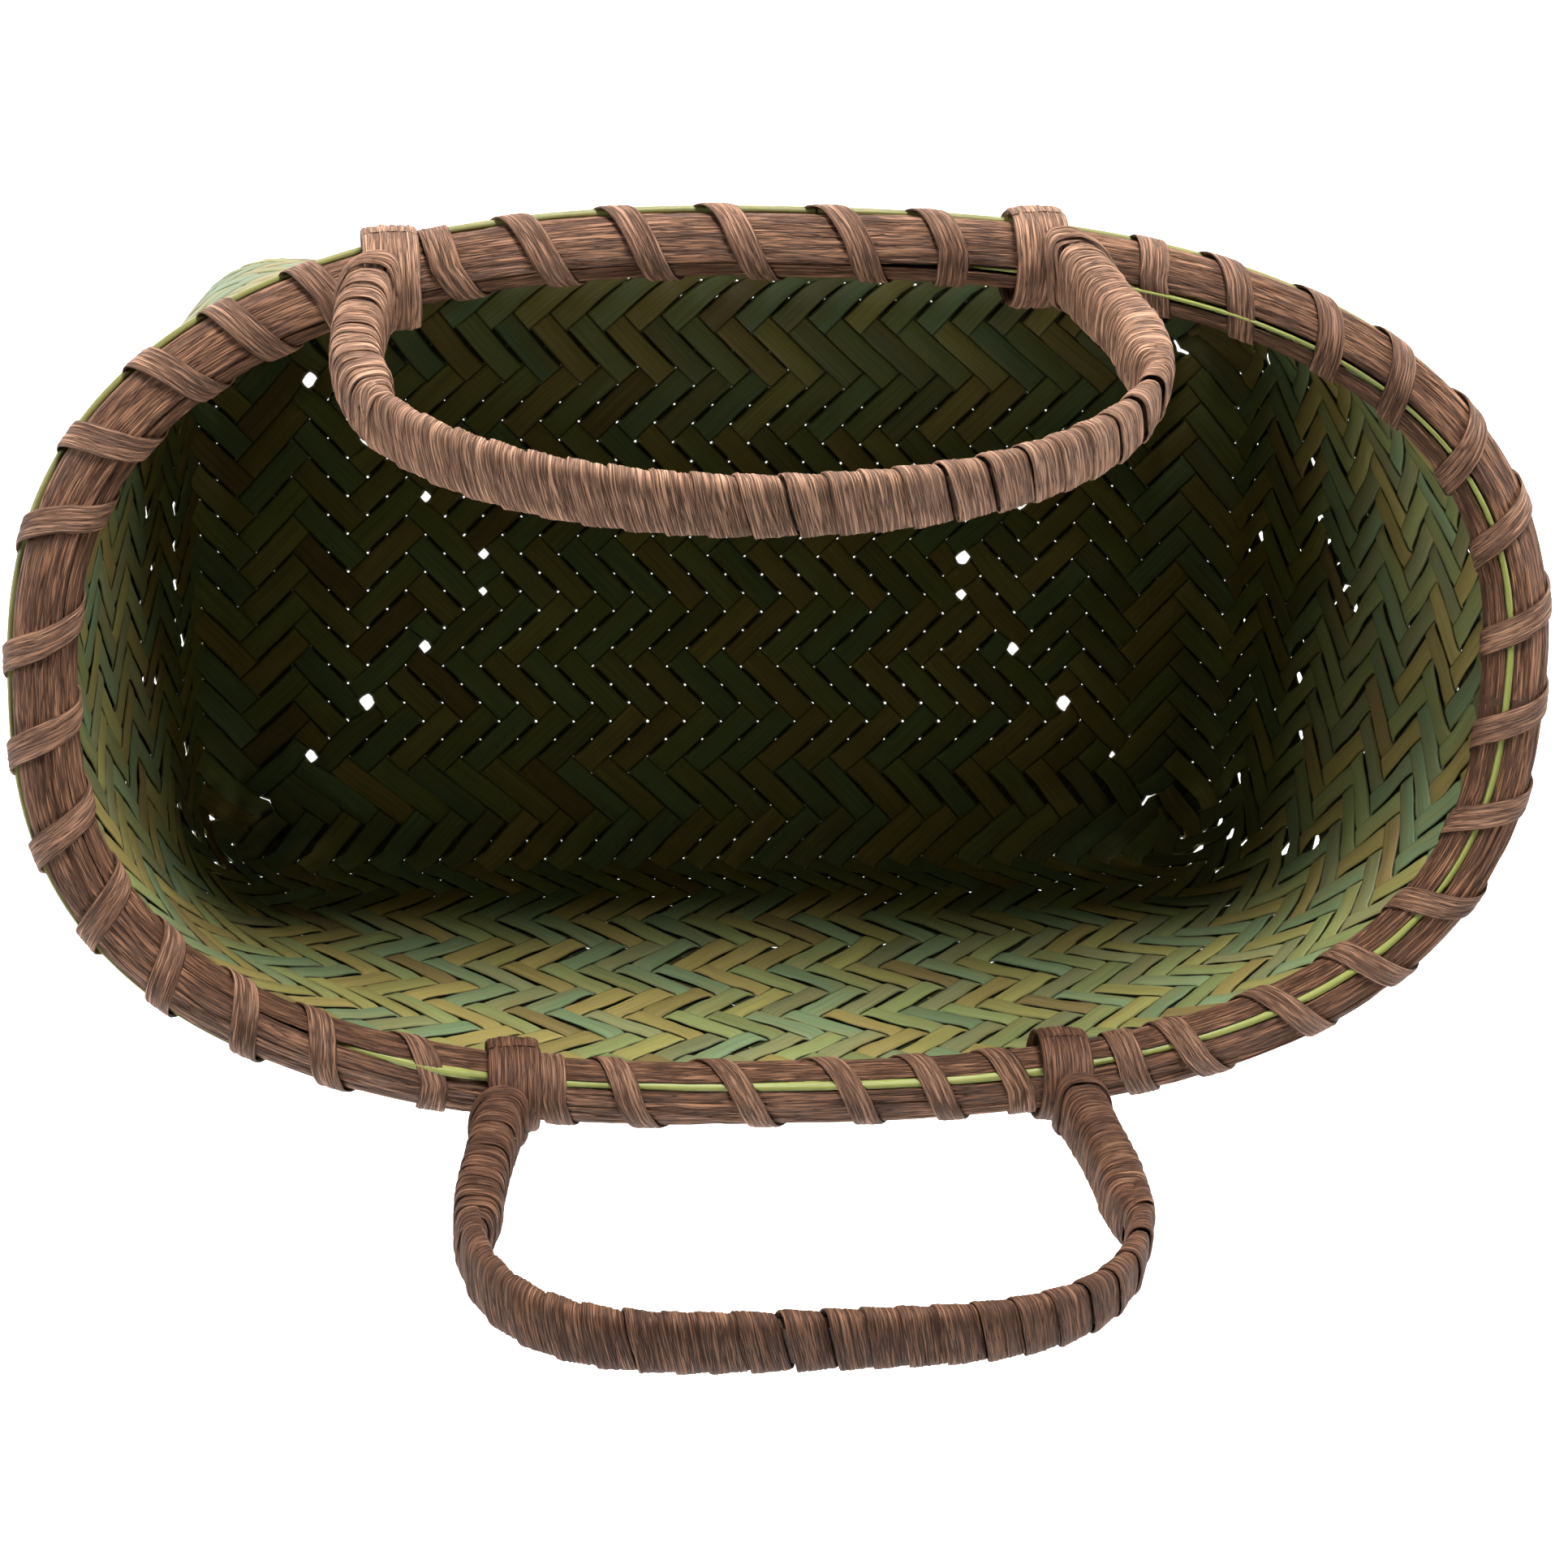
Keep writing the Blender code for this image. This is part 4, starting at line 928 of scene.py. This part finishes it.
def slice_section(low, high, count):
    """Closed outline of a slice of the rim's oval, with even steps."""
    outs = np.linspace(low, high, 40)
    share = outs / (RIM_HALF_WIDTH + TIP_MARGIN)
    ups = RIM_HALF_HEIGHT * np.sqrt(np.maximum(1 - share ** 2, TIP_SQUARE))
    outline = np.concatenate([np.stack([outs, ups], 1), np.stack([outs[::-1], -ups[::-1]], 1)])
    closed = np.vstack([outline, outline[:1]])
    run = lengths_along(closed)
    even = np.linspace(0, run[-1], count, endpoint=False)
    section = np.stack([np.interp(even, run, closed[:, 0]), np.interp(even, run, closed[:, 1])], 1)
    for _ in range(2):
        section = (np.roll(section, 1, 0) + 2 * section + np.roll(section, -1, 0)) / 4
    return section


def crease_at(out, up, run, seed):
    """Depth share of the crease at a place of a cover, and its soft swell."""
    def value(at):
        return noise.noise(Vector((out / CREASE_SPACING, up / CREASE_SPACING,
                                   at / CREASE_LENGTH + seed)))
    seam = max(0.0, (run - RIM.length) / SEAM_LENGTH + 1)
    mixed = value(run) * (1 - seam) + value(run - RIM.length) * seam if seam else value(run)
    return max(0.0, 1 - abs(mixed) / VALLEY_WIDTH), mixed


def closed_share(x, y):
    """How far the outer cover is pulled over to the inner hoop: wholly along the left
    and the left half of the back, not at all elsewhere."""
    share = min(max(y / CLOSED_DEPTH + 0.5, 0.0), 1.0)
    limit = CLOSED_FRONT + (CLOSED_BACK - CLOSED_FRONT) * share
    return min(max((limit - x) / CLOSED_FADE, 0.0), 1.0)


def hoop_cover(name, low, high, count, seed, stands_for, pull=(0.0, 0.0)):
    """pull says how far the inner and the outer edge move where the gap is closed."""
    section = slice_section(low, high, count)
    pulled = np.interp(section[:, 0], (low, high), pull)
    tangent = np.roll(section, -1, 0) - np.roll(section, 1, 0)
    normal = unit(np.stack([-tangent[:, 1], tangent[:, 0]], 1))
    runs = np.linspace(0, RIM.length, COVER_STEPS, endpoint=False)
    rings, creases = [], []
    for run in runs:
        pressed = [crease_at(out, up, run, seed) for out, up in section]
        push = np.array([(swell * 0.5 - valley) * CREASE_DEPTH for valley, swell in pressed])
        moved = section + normal * push[:, None]
        closed = closed_share(*RIM.place(run, 0.0, 0.0)[:2])
        rings.append(RIM.place(np.full(count, run), moved[:, 0] + pulled * closed, moved[:, 1]))
        creases += [valley for valley, _ in pressed]
    faces = []
    for i in range(COVER_STEPS):
        a, b = i * count, (i + 1) % COVER_STEPS * count
        faces += [(a + k, a + (k + 1) % count, b + (k + 1) % count, b + k) for k in range(count)]
    mesh = bpy.data.meshes.new(name)
    mesh.from_pydata(np.concatenate(rings).tolist(), [], faces)
    mesh.shade_smooth()
    around = np.linspace(0, COVER_ROUND, count, endpoint=False)
    # crease also sets the painted shade of the rim's bast finish
    for key, values in (("crease", creases), ("along", np.repeat(runs, count)),
                        ("across", np.tile(around, COVER_STEPS)),
                        ("strand", np.full(count * COVER_STEPS, seed))):
        carry(mesh, key, values)
    mesh.materials.append(rim_bast)
    obj = add_object(name, mesh)
    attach(obj, "basket")
    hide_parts(*stands_for)
    print(name, "triangles:", 2 * len(faces))


hoop_cover("inner_hoop_cover", low=-0.0082, high=-0.0047, count=60, seed=3.0,
           stands_for=("rim_inner_sheath",))
hoop_cover("outer_hoop_cover", low=-0.0028, high=0.0077, count=100, seed=8.0,
           stands_for=("rim_outer_sheath",), pull=(-0.0019, -0.0009))

# %% Strips of split cane
SEAM_AT = RIM.nearest_run(*place_at_height(1011, 280, RIM_HEIGHT)[:2])
STRIP_POINTS, SEAM_HALF_GAP, STRIP_WAVES, STRIP_WIDER = 500, 0.0003, 14, 0.5


def rim_strip_path(out, up, facing_up, wobble, height, sink=0.0):
    """Open path right round the rim, its ends butted at the seam. The strip rises
    and falls by a height, so it is hidden in parts, and it is wider in front. It
    sinks where the cover closes the gap."""
    runs = np.linspace(SEAM_AT + SEAM_HALF_GAP, SEAM_AT + RIM.length - SEAM_HALF_GAP, STRIP_POINTS)
    sway = wave(runs, STRIP_WAVES, wobble, 0.5) * height
    closed = np.array([closed_share(*RIM.place(run, 0.0, 0.0)[:2]) for run in runs])
    height = up + sway - sink * closed
    points = RIM.place(runs, out, height)
    outward = RIM.place(runs, out + 1.0, height) - points
    facing = np.tile((0.0, 0.0, 1.0), (STRIP_POINTS, 1)) if facing_up else outward
    return {"points": points, "facing": facing,
            "slim": 1 - STRIP_WIDER * points[:, 1] / (RIM_WIDTH / 2)}


filler = rim_strip_path(out=-0.0037, up=0.0050, facing_up=True, wobble=1.0, height=0.0022,
                        sink=0.0060)
make_strands("filler_strip", [filler], bright_cane, "basket", ("rim_filler_strip",),
             section_points=8, Width=0.0019, Thickness=0.0040)
band = rim_strip_path(out=0.0074, up=-0.0030, facing_up=False, wobble=5.0, height=0.0016)
make_strands("outer_band", [band], olive_cane, "basket", ("rim_outer_band",),
             section_points=8, Width=0.0062, Thickness=0.0020)

# %% [markdown]
# ## The lashing
# One bast strip after another is wound round the rim between the handles, and
# goes through the weave under it each turn. Where each turn crosses the top of
# the rim was read off the photograph; the line of sight through that
# place gives the length along the rim, and a helix is run through them all.

# %% Where the turns cross the top
TURN_PLACES = {
    "right": ((1393, 1290), (1469, 1277), (1598, 1241), (1698, 1193), (1772, 1111), (1846, 998),
              (1880, 880), (1880, 763), (1867, 639), (1819, 543), (1733, 456), (1650, 400),
              (1537, 356), (1428, 330)),
    "back": ((1180, 305), (1064, 300), (921, 290), (796, 290), (667, 290), (544, 300)),
    "left": ((391, 317), (287, 372), (200, 435), (113, 528), (70, 630), (36, 788), (36, 904),
             (67, 1025), (116, 1128), (196, 1208), (295, 1274), (397, 1305), (538, 1330)),
    "front": ((685, 1330), (780, 1335), (927, 1335), (1061, 1330), (1163, 1325), (1259, 1310)),
}
LASHING_CLEAR, END_SHARE, POINTS_PER_TURN, STEP_AHEAD = 0.0007, 0.10, 34, 0.001


def lashing_path(places):
    crossings = []
    for pixel_x, pixel_y in places:
        spot = place_at_height(pixel_x, pixel_y, RIM_HEIGHT + RIM_HALF_HEIGHT)
        crossings.append(RIM.nearest_run(spot.x, spot.y))
    for i in range(1, len(crossings)):
        while crossings[i] < crossings[i - 1]:
            crossings[i] += RIM.length
    pitch = (crossings[-1] - crossings[0]) / (len(crossings) - 1)
    ends = [crossings[0] - END_SHARE * pitch] + crossings + [crossings[-1] + END_SHARE * pitch]
    at = [-0.5] + list(range(len(crossings))) + [len(crossings) - 0.5]
    turn = np.arange(-0.5, len(crossings) - 0.5, 1 / POINTS_PER_TURN)
    run = np.interp(turn, at, ends)
    angle = math.pi / 2 - 2 * math.pi * turn
    wide, high = RIM_HALF_WIDTH + LASHING_CLEAR, RIM_HALF_HEIGHT + LASHING_CLEAR
    out, up = wide * np.cos(angle), high * np.sin(angle)
    points = RIM.place(run, out, up)
    facing = RIM.place(run, out + np.cos(angle) / wide, up + np.sin(angle) / high) - points
    side = RIM.place(run + STEP_AHEAD, out, up) - RIM.place(run - STEP_AHEAD, out, up)
    return {"points": points, "facing": unit(facing), "side": unit(side)}


for side, places in TURN_PLACES.items():
    make_strands("lashing_" + side, [lashing_path(places)], lashing_bast, "basket",
                 ("rim_lashing_" + side,), section_points=30, Width=0.0078, Thickness=0.0008,
                 Crease_depth=0.00018, Creases_per_metre=800.0, Crease_stretch=22.0,
                 Front_share=0.75, Seed=len(places))

# %% [markdown]
# ## The handles
# Each handle is a bent flat cane, wound with bast from foot to foot: wide flat
# turns on the grip, closer ones over the legs, where the cane's ends are
# doubled. The path of a wrap is a helix round the cane's flat section. The
# bows stand in the planes of their hinges, which are taken from the loops.

# %% Bows in their hinge planes
BOWS = {
    "back": {"left_foot": 0.1030, "grip_to_left": 0.0165, "right_foot": 0.0540,
             "spread": 0.1130, "height": 0.1030, "power": 2.15, "lean_deg": 24.5, "foot_shift": 0.0034},
    "front": {"left_foot": 0.0715, "grip_to_left": 0.0040, "right_foot": 0.0735,
              "spread": 0.0890, "height": 0.1000, "power": 3.8, "lean_deg": 16.5, "foot_shift": 0.0},
}
LEG_BOTTOM, FOOT_START = 0.0072, 0.00774
BOW_ANGLES, BOW_POINTS = 2881, 400


class BowLine:
    """A handle's middle line, with places along it, outward and across."""

    def __init__(self, name):
        bow = BOWS[name]
        self.foot_shift = bow["foot_shift"]
        feet = [sum((Vector(corner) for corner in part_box(f"{name}_handle_{side}_loop")),
                    Vector()) / 2 for side in ("left", "right")]
        along = (feet[1] - feet[0]).normalized()
        back = Vector((0, 0, 1)).cross(along).normalized()
        turned = Matrix((along, back, along.cross(back))).transposed().to_4x4()
        turned.translation = (feet[0] + feet[1]) / 2
        turned = turned @ Matrix.Rotation(math.radians(bow["lean_deg"]), 4, "X")
        self.frame = np.array(turned)
        self.half_span = (feet[1] - feet[0]).length / 2
        angle = np.linspace(0, math.pi, BOW_ANGLES)
        power = 2 / bow["power"]
        skew = (bow["left_foot"] - bow["right_foot"]) / 2 - bow["grip_to_left"]
        wide = -bow["spread"] * np.sign(np.cos(angle)) * np.abs(np.cos(angle)) ** power
        share = np.maximum(np.sin(angle), 0) ** power
        draw = (1 - self.half_span / bow["spread"]) * (1 - share) ** 2
        line = np.stack([wide * (1 - draw) + skew * share, bow["height"] * share], axis=1)
        line = line[line[:, 1] >= FOOT_START]
        run = lengths_along(line)
        self.length = run[-1]
        self.runs = np.linspace(0, self.length, BOW_POINTS)
        self.line = np.stack([np.interp(self.runs, run, line[:, k]) for k in (0, 1)], axis=1)
        slope = unit(np.gradient(self.line, self.runs, axis=0))
        self.outward = np.stack([-slope[:, 1], slope[:, 0]], axis=1)

    def place(self, run, out, across):
        middle = [np.interp(run, self.runs, self.line[:, k]) for k in (0, 1)]
        outward = [np.interp(run, self.runs, self.outward[:, k]) for k in (0, 1)]
        flat = np.stack([middle[0] + outward[0] * out, np.broadcast_to(across, np.shape(run)),
                         middle[1] + outward[1] * out], axis=-1)
        return self.turn(flat)

    def foot_tilt(self, side):
        """How much higher a place gets on the foot for each length outward."""
        run = LEG_BOTTOM if side == "left" else self.length - LEG_BOTTOM
        rise, lean = (np.interp(run, self.runs, self.outward[:, k]) for k in (0, 1))
        return lean / abs(rise)

    def turn(self, points):
        return points @ self.frame[:3, :3].T + self.frame[:3, 3]


bow_lines = {name: BowLine(name) for name in BOWS}
print("bow lengths, mm:", {n: round(b.length * 1000, 1) for n, b in bow_lines.items()})

# %% Wrap paths
LEG_TOP, LEG_THINS, LEG_SWAY, LEG_PACE = 0.0570, 0.0440, 0.02, 0.41
GRIP_START, GRIP_SWAY, GRIP_PACE = 0.0500, 0.26, 0.37
GRIP_HALF_WIDTH, GRIP_HALF_THICKNESS = {"back": 0.0072, "front": 0.0081}, 0.0028
LEG_HALF_WIDTH, LEG_HALF_THICKNESS, LEG_MIDDLE, LEG_OVER_GRIP = 0.0073, 0.0056, -0.0024, 0.0006
FOOT_HALF_WIDTH, FOOT_HALF_THICKNESS, FOOT_HEIGHT = 0.0081, 0.0062, 0.0240
SEAT_RADIUS, SEAT_TOP, SEAT_FADE = 0.0126, 0.030, 0.020
SECTION_ANGLES, SECTION_POWER, SECTION_STEP = 1441, 3.0, 0.004


def section_place(turn, half_out, half_across, middle_out):
    """Flat rounded section, by even lengths round it: places and outward directions."""
    angle = np.linspace(0, 2 * math.pi, SECTION_ANGLES)
    shape = 2 / SECTION_POWER
    mean_out, mean_across = np.mean(half_out), np.mean(half_across)
    out = mean_out * np.sign(np.cos(angle)) * np.abs(np.cos(angle)) ** shape
    across = mean_across * np.sign(np.sin(angle)) * np.abs(np.sin(angle)) ** shape
    run = np.concatenate([[0], np.cumsum(np.hypot(np.diff(out), np.diff(across)))])
    share = np.mod(turn, 1.0)
    near, ahead, behind = ([np.interp(np.mod(share + move, 1.0), run / run[-1], values)
                            for values in (out, across)]
                           for move in (0.0, SECTION_STEP, -SECTION_STEP))
    away_out, away_across = ahead[1] - behind[1], behind[0] - ahead[0]
    size = np.hypot(away_out, away_across)
    return (middle_out + near[0] * half_out / mean_out, near[1] * half_across / mean_across,
            away_out / size, away_across / size)


def leg_section(rise):
    """Half sizes and middle of a leg's section at a length from the foot, and how
    low that is, from 0 to 1. The leg spreads over the loop below, and thins to the
    grip above the doubled cane."""
    low = np.clip((FOOT_HEIGHT - rise) / (FOOT_HEIGHT - LEG_BOTTOM), 0, 1) ** 1.5
    top = np.clip((rise - LEG_THINS) / (LEG_TOP - LEG_THINS), 0, 1) ** 1.5
    half_out = LEG_HALF_THICKNESS + (FOOT_HALF_THICKNESS - LEG_HALF_THICKNESS) * low
    half_out += (GRIP_HALF_THICKNESS + LEG_OVER_GRIP - half_out) * top
    half_across = LEG_HALF_WIDTH + (FOOT_HALF_WIDTH - LEG_HALF_WIDTH) * low
    return half_out, half_across, LEG_MIDDLE * (1 - top) * (1 - 0.5 * low), low


def leg_path(line, side, turns, seed, start=LEG_BOTTOM, end=LEG_TOP, grow=0.0, per_turn=44):
    """Helix round a leg, from the loop up. Its foot sits on the round loop, and the
    strip follows the leg as it gets thicker and thinner."""
    turn = np.arange(0, turns * per_turn + 1) / per_turn
    sway = wave(turn, LEG_PACE, seed, 0.0) * LEG_SWAY
    middle_rise = np.clip(start + (end - start) * (turn / turns + sway), start, end)

    def skin(rise, beyond=0.0):
        half_out, half_across, middle, low = leg_section(rise)
        out, across, away_out, away_across = section_place(turn, half_out + grow,
                                                           half_across + grow, middle)
        across = across + line.foot_shift * low
        seat = SEAT_RADIUS - np.sqrt(np.maximum(SEAT_RADIUS ** 2 - across ** 2, 0))
        seat += line.foot_tilt(side) * out
        seated = rise - seat * np.clip((SEAT_TOP - rise) / SEAT_FADE, 0, 1)
        run = seated if side == "left" else line.length - seated
        return line.place(run, out + away_out * beyond, across + away_across * beyond)

    points = skin(middle_rise)
    facing = skin(middle_rise, 1.0) - points
    axis = skin(middle_rise + 1.5 * STEP_AHEAD) - skin(middle_rise - 1.5 * STEP_AHEAD)
    return {"points": points, "facing": unit(facing), "side": unit(axis)}


def grip_path(line, turns, half_across, seed):
    """Helix round the grip, with the small uneven steps of a wrap done by hand."""
    per_turn = 40
    turn = np.arange(0, turns * per_turn + 1) / per_turn
    sway = wave(turn, GRIP_PACE, seed, 0.0)
    start, end = GRIP_START, line.length - GRIP_START
    pitch = (end - start) / turns
    run = np.clip(start + (end - start) * turn / turns + sway * pitch * GRIP_SWAY, start, end)
    out, across, away_out, away_across = section_place(-turn, GRIP_HALF_THICKNESS, half_across, 0.0)
    points = line.place(run, out, across)
    facing = line.place(run, out + away_out, across + away_across) - points
    ahead = line.place(np.minimum(run + STEP_AHEAD, line.length), out, across)
    side = ahead - line.place(np.maximum(run - STEP_AHEAD, 0), out, across)
    return {"points": points, "facing": unit(facing), "side": unit(side)}


# %% Grip and leg wraps
GRIP_TURNS = {"back": 24, "front": 23}
LEG_TURNS = 12.5


def wrap_handle(name, piece, node, path, **sizes):
    """One strand of a handle, which stands for a node of that handle."""
    handle = f"{name}_handle"
    make_strands(f"{handle}_{piece}_strip", [path], wrap_bast[name], handle, (f"{handle}_{node}",),
                 **sizes)


for name, line in bow_lines.items():
    grip = grip_path(line, GRIP_TURNS[name], GRIP_HALF_WIDTH[name], 3.0 + len(name))
    pitch = (line.length - 2 * GRIP_START) / GRIP_TURNS[name]
    wrap_handle(name, "grip", "grip_wrap", grip, section_points=36, Width=pitch * 1.10,
                Thickness=0.0009, Crease_depth=0.00022, Creases_per_metre=860.0,
                Crease_stretch=22.0, Front_share=0.8, Lap=0.0004, Seed=len(name))
    for side in ("left", "right"):
        leg = leg_path(line, side, LEG_TURNS, 11.0 + len(side))
        pitch = (LEG_TOP - LEG_BOTTOM) / LEG_TURNS
        wrap_handle(name, f"{side}_leg", f"{side}_leg_wrap", leg, section_points=26,
                    Width=pitch * 1.42, Thickness=0.0008, Crease_depth=0.00028,
                    Creases_per_metre=700.0, Crease_stretch=14.0, Front_share=0.8, Lap=0.0003,
                    Seed=len(side))

# %% [markdown]
# ## Loops and collars
# A broad bast loop goes round the rim at each foot and carries the handle, and
# a narrow collar is bound over the place where the loop and the leg meet. Both
# are strands as well: the loop runs round the hinge line, the collar round the
# leg and in an arc over the loop.

# %% Loops and collars
LOOP_RADIUS, LOOP_POINTS, LOOP_GAP_ANGLE = 0.0114, 61, 0.002
COLLAR_RUN, COLLAR_RISE, COLLAR_CLEAR = 0.0092, 0.0003, 0.0007


def loop_path(line, side):
    angle = np.linspace(0, 2 * math.pi, LOOP_POINTS)
    angle[-1] -= LOOP_GAP_ANGLE
    x = np.full(LOOP_POINTS, line.half_span * (-1 if side == "left" else 1))
    points = np.stack([x, LOOP_RADIUS * np.cos(angle), LOOP_RADIUS * np.sin(angle)], axis=1)
    outward = np.stack([np.zeros(LOOP_POINTS), np.cos(angle), np.sin(angle)], axis=1)
    return {"points": line.turn(points), "facing": outward @ line.frame[:3, :3].T}


def collar_path(line, side):
    """One turn round the foot, just over the loop."""
    path = leg_path(line, side, 1, 0.5, start=COLLAR_RUN, end=COLLAR_RUN + COLLAR_RISE,
                    grow=COLLAR_CLEAR, per_turn=60)
    return {key: values[:-1] for key, values in path.items()}


for name, line in bow_lines.items():
    for side in ("left", "right"):
        loop, collar = f"{side}_loop", f"{side}_collar"
        wrap_handle(name, loop, loop, loop_path(line, side), section_points=40, Width=0.0136,
                    Thickness=0.0024, Crease_depth=0.00035, Crown=2.4, Creases_per_metre=560.0,
                    Crease_stretch=10.0, Front_share=0.75, Seed=len(name) + len(side))
        wrap_handle(name, collar, collar, collar_path(line, side), section_points=24,
                    Width=0.0034, Thickness=0.0011, Crease_depth=0.00018,
                    Creases_per_metre=600.0, Crease_stretch=10.0, Front_share=0.7,
                    Seed=2 + len(side))

# %% [markdown]
# ## Pieces of the frame that stay
# The two canes and the cores inside the rim are right as they are. They only
# need the look of split wood, where the wraps leave them bare.

# %% Finishes of the pieces that stay
for node_name, finish in (("back_handle_cane", bow_wood), ("front_handle_cane", bow_wood),
                          ("rim_inner_core", core_wood), ("rim_outer_core", core_wood)):
    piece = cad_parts[node_name]
    for slot in piece.material_slots:
        slot.material = finish
    print(node_name, "finish:", finish.name)
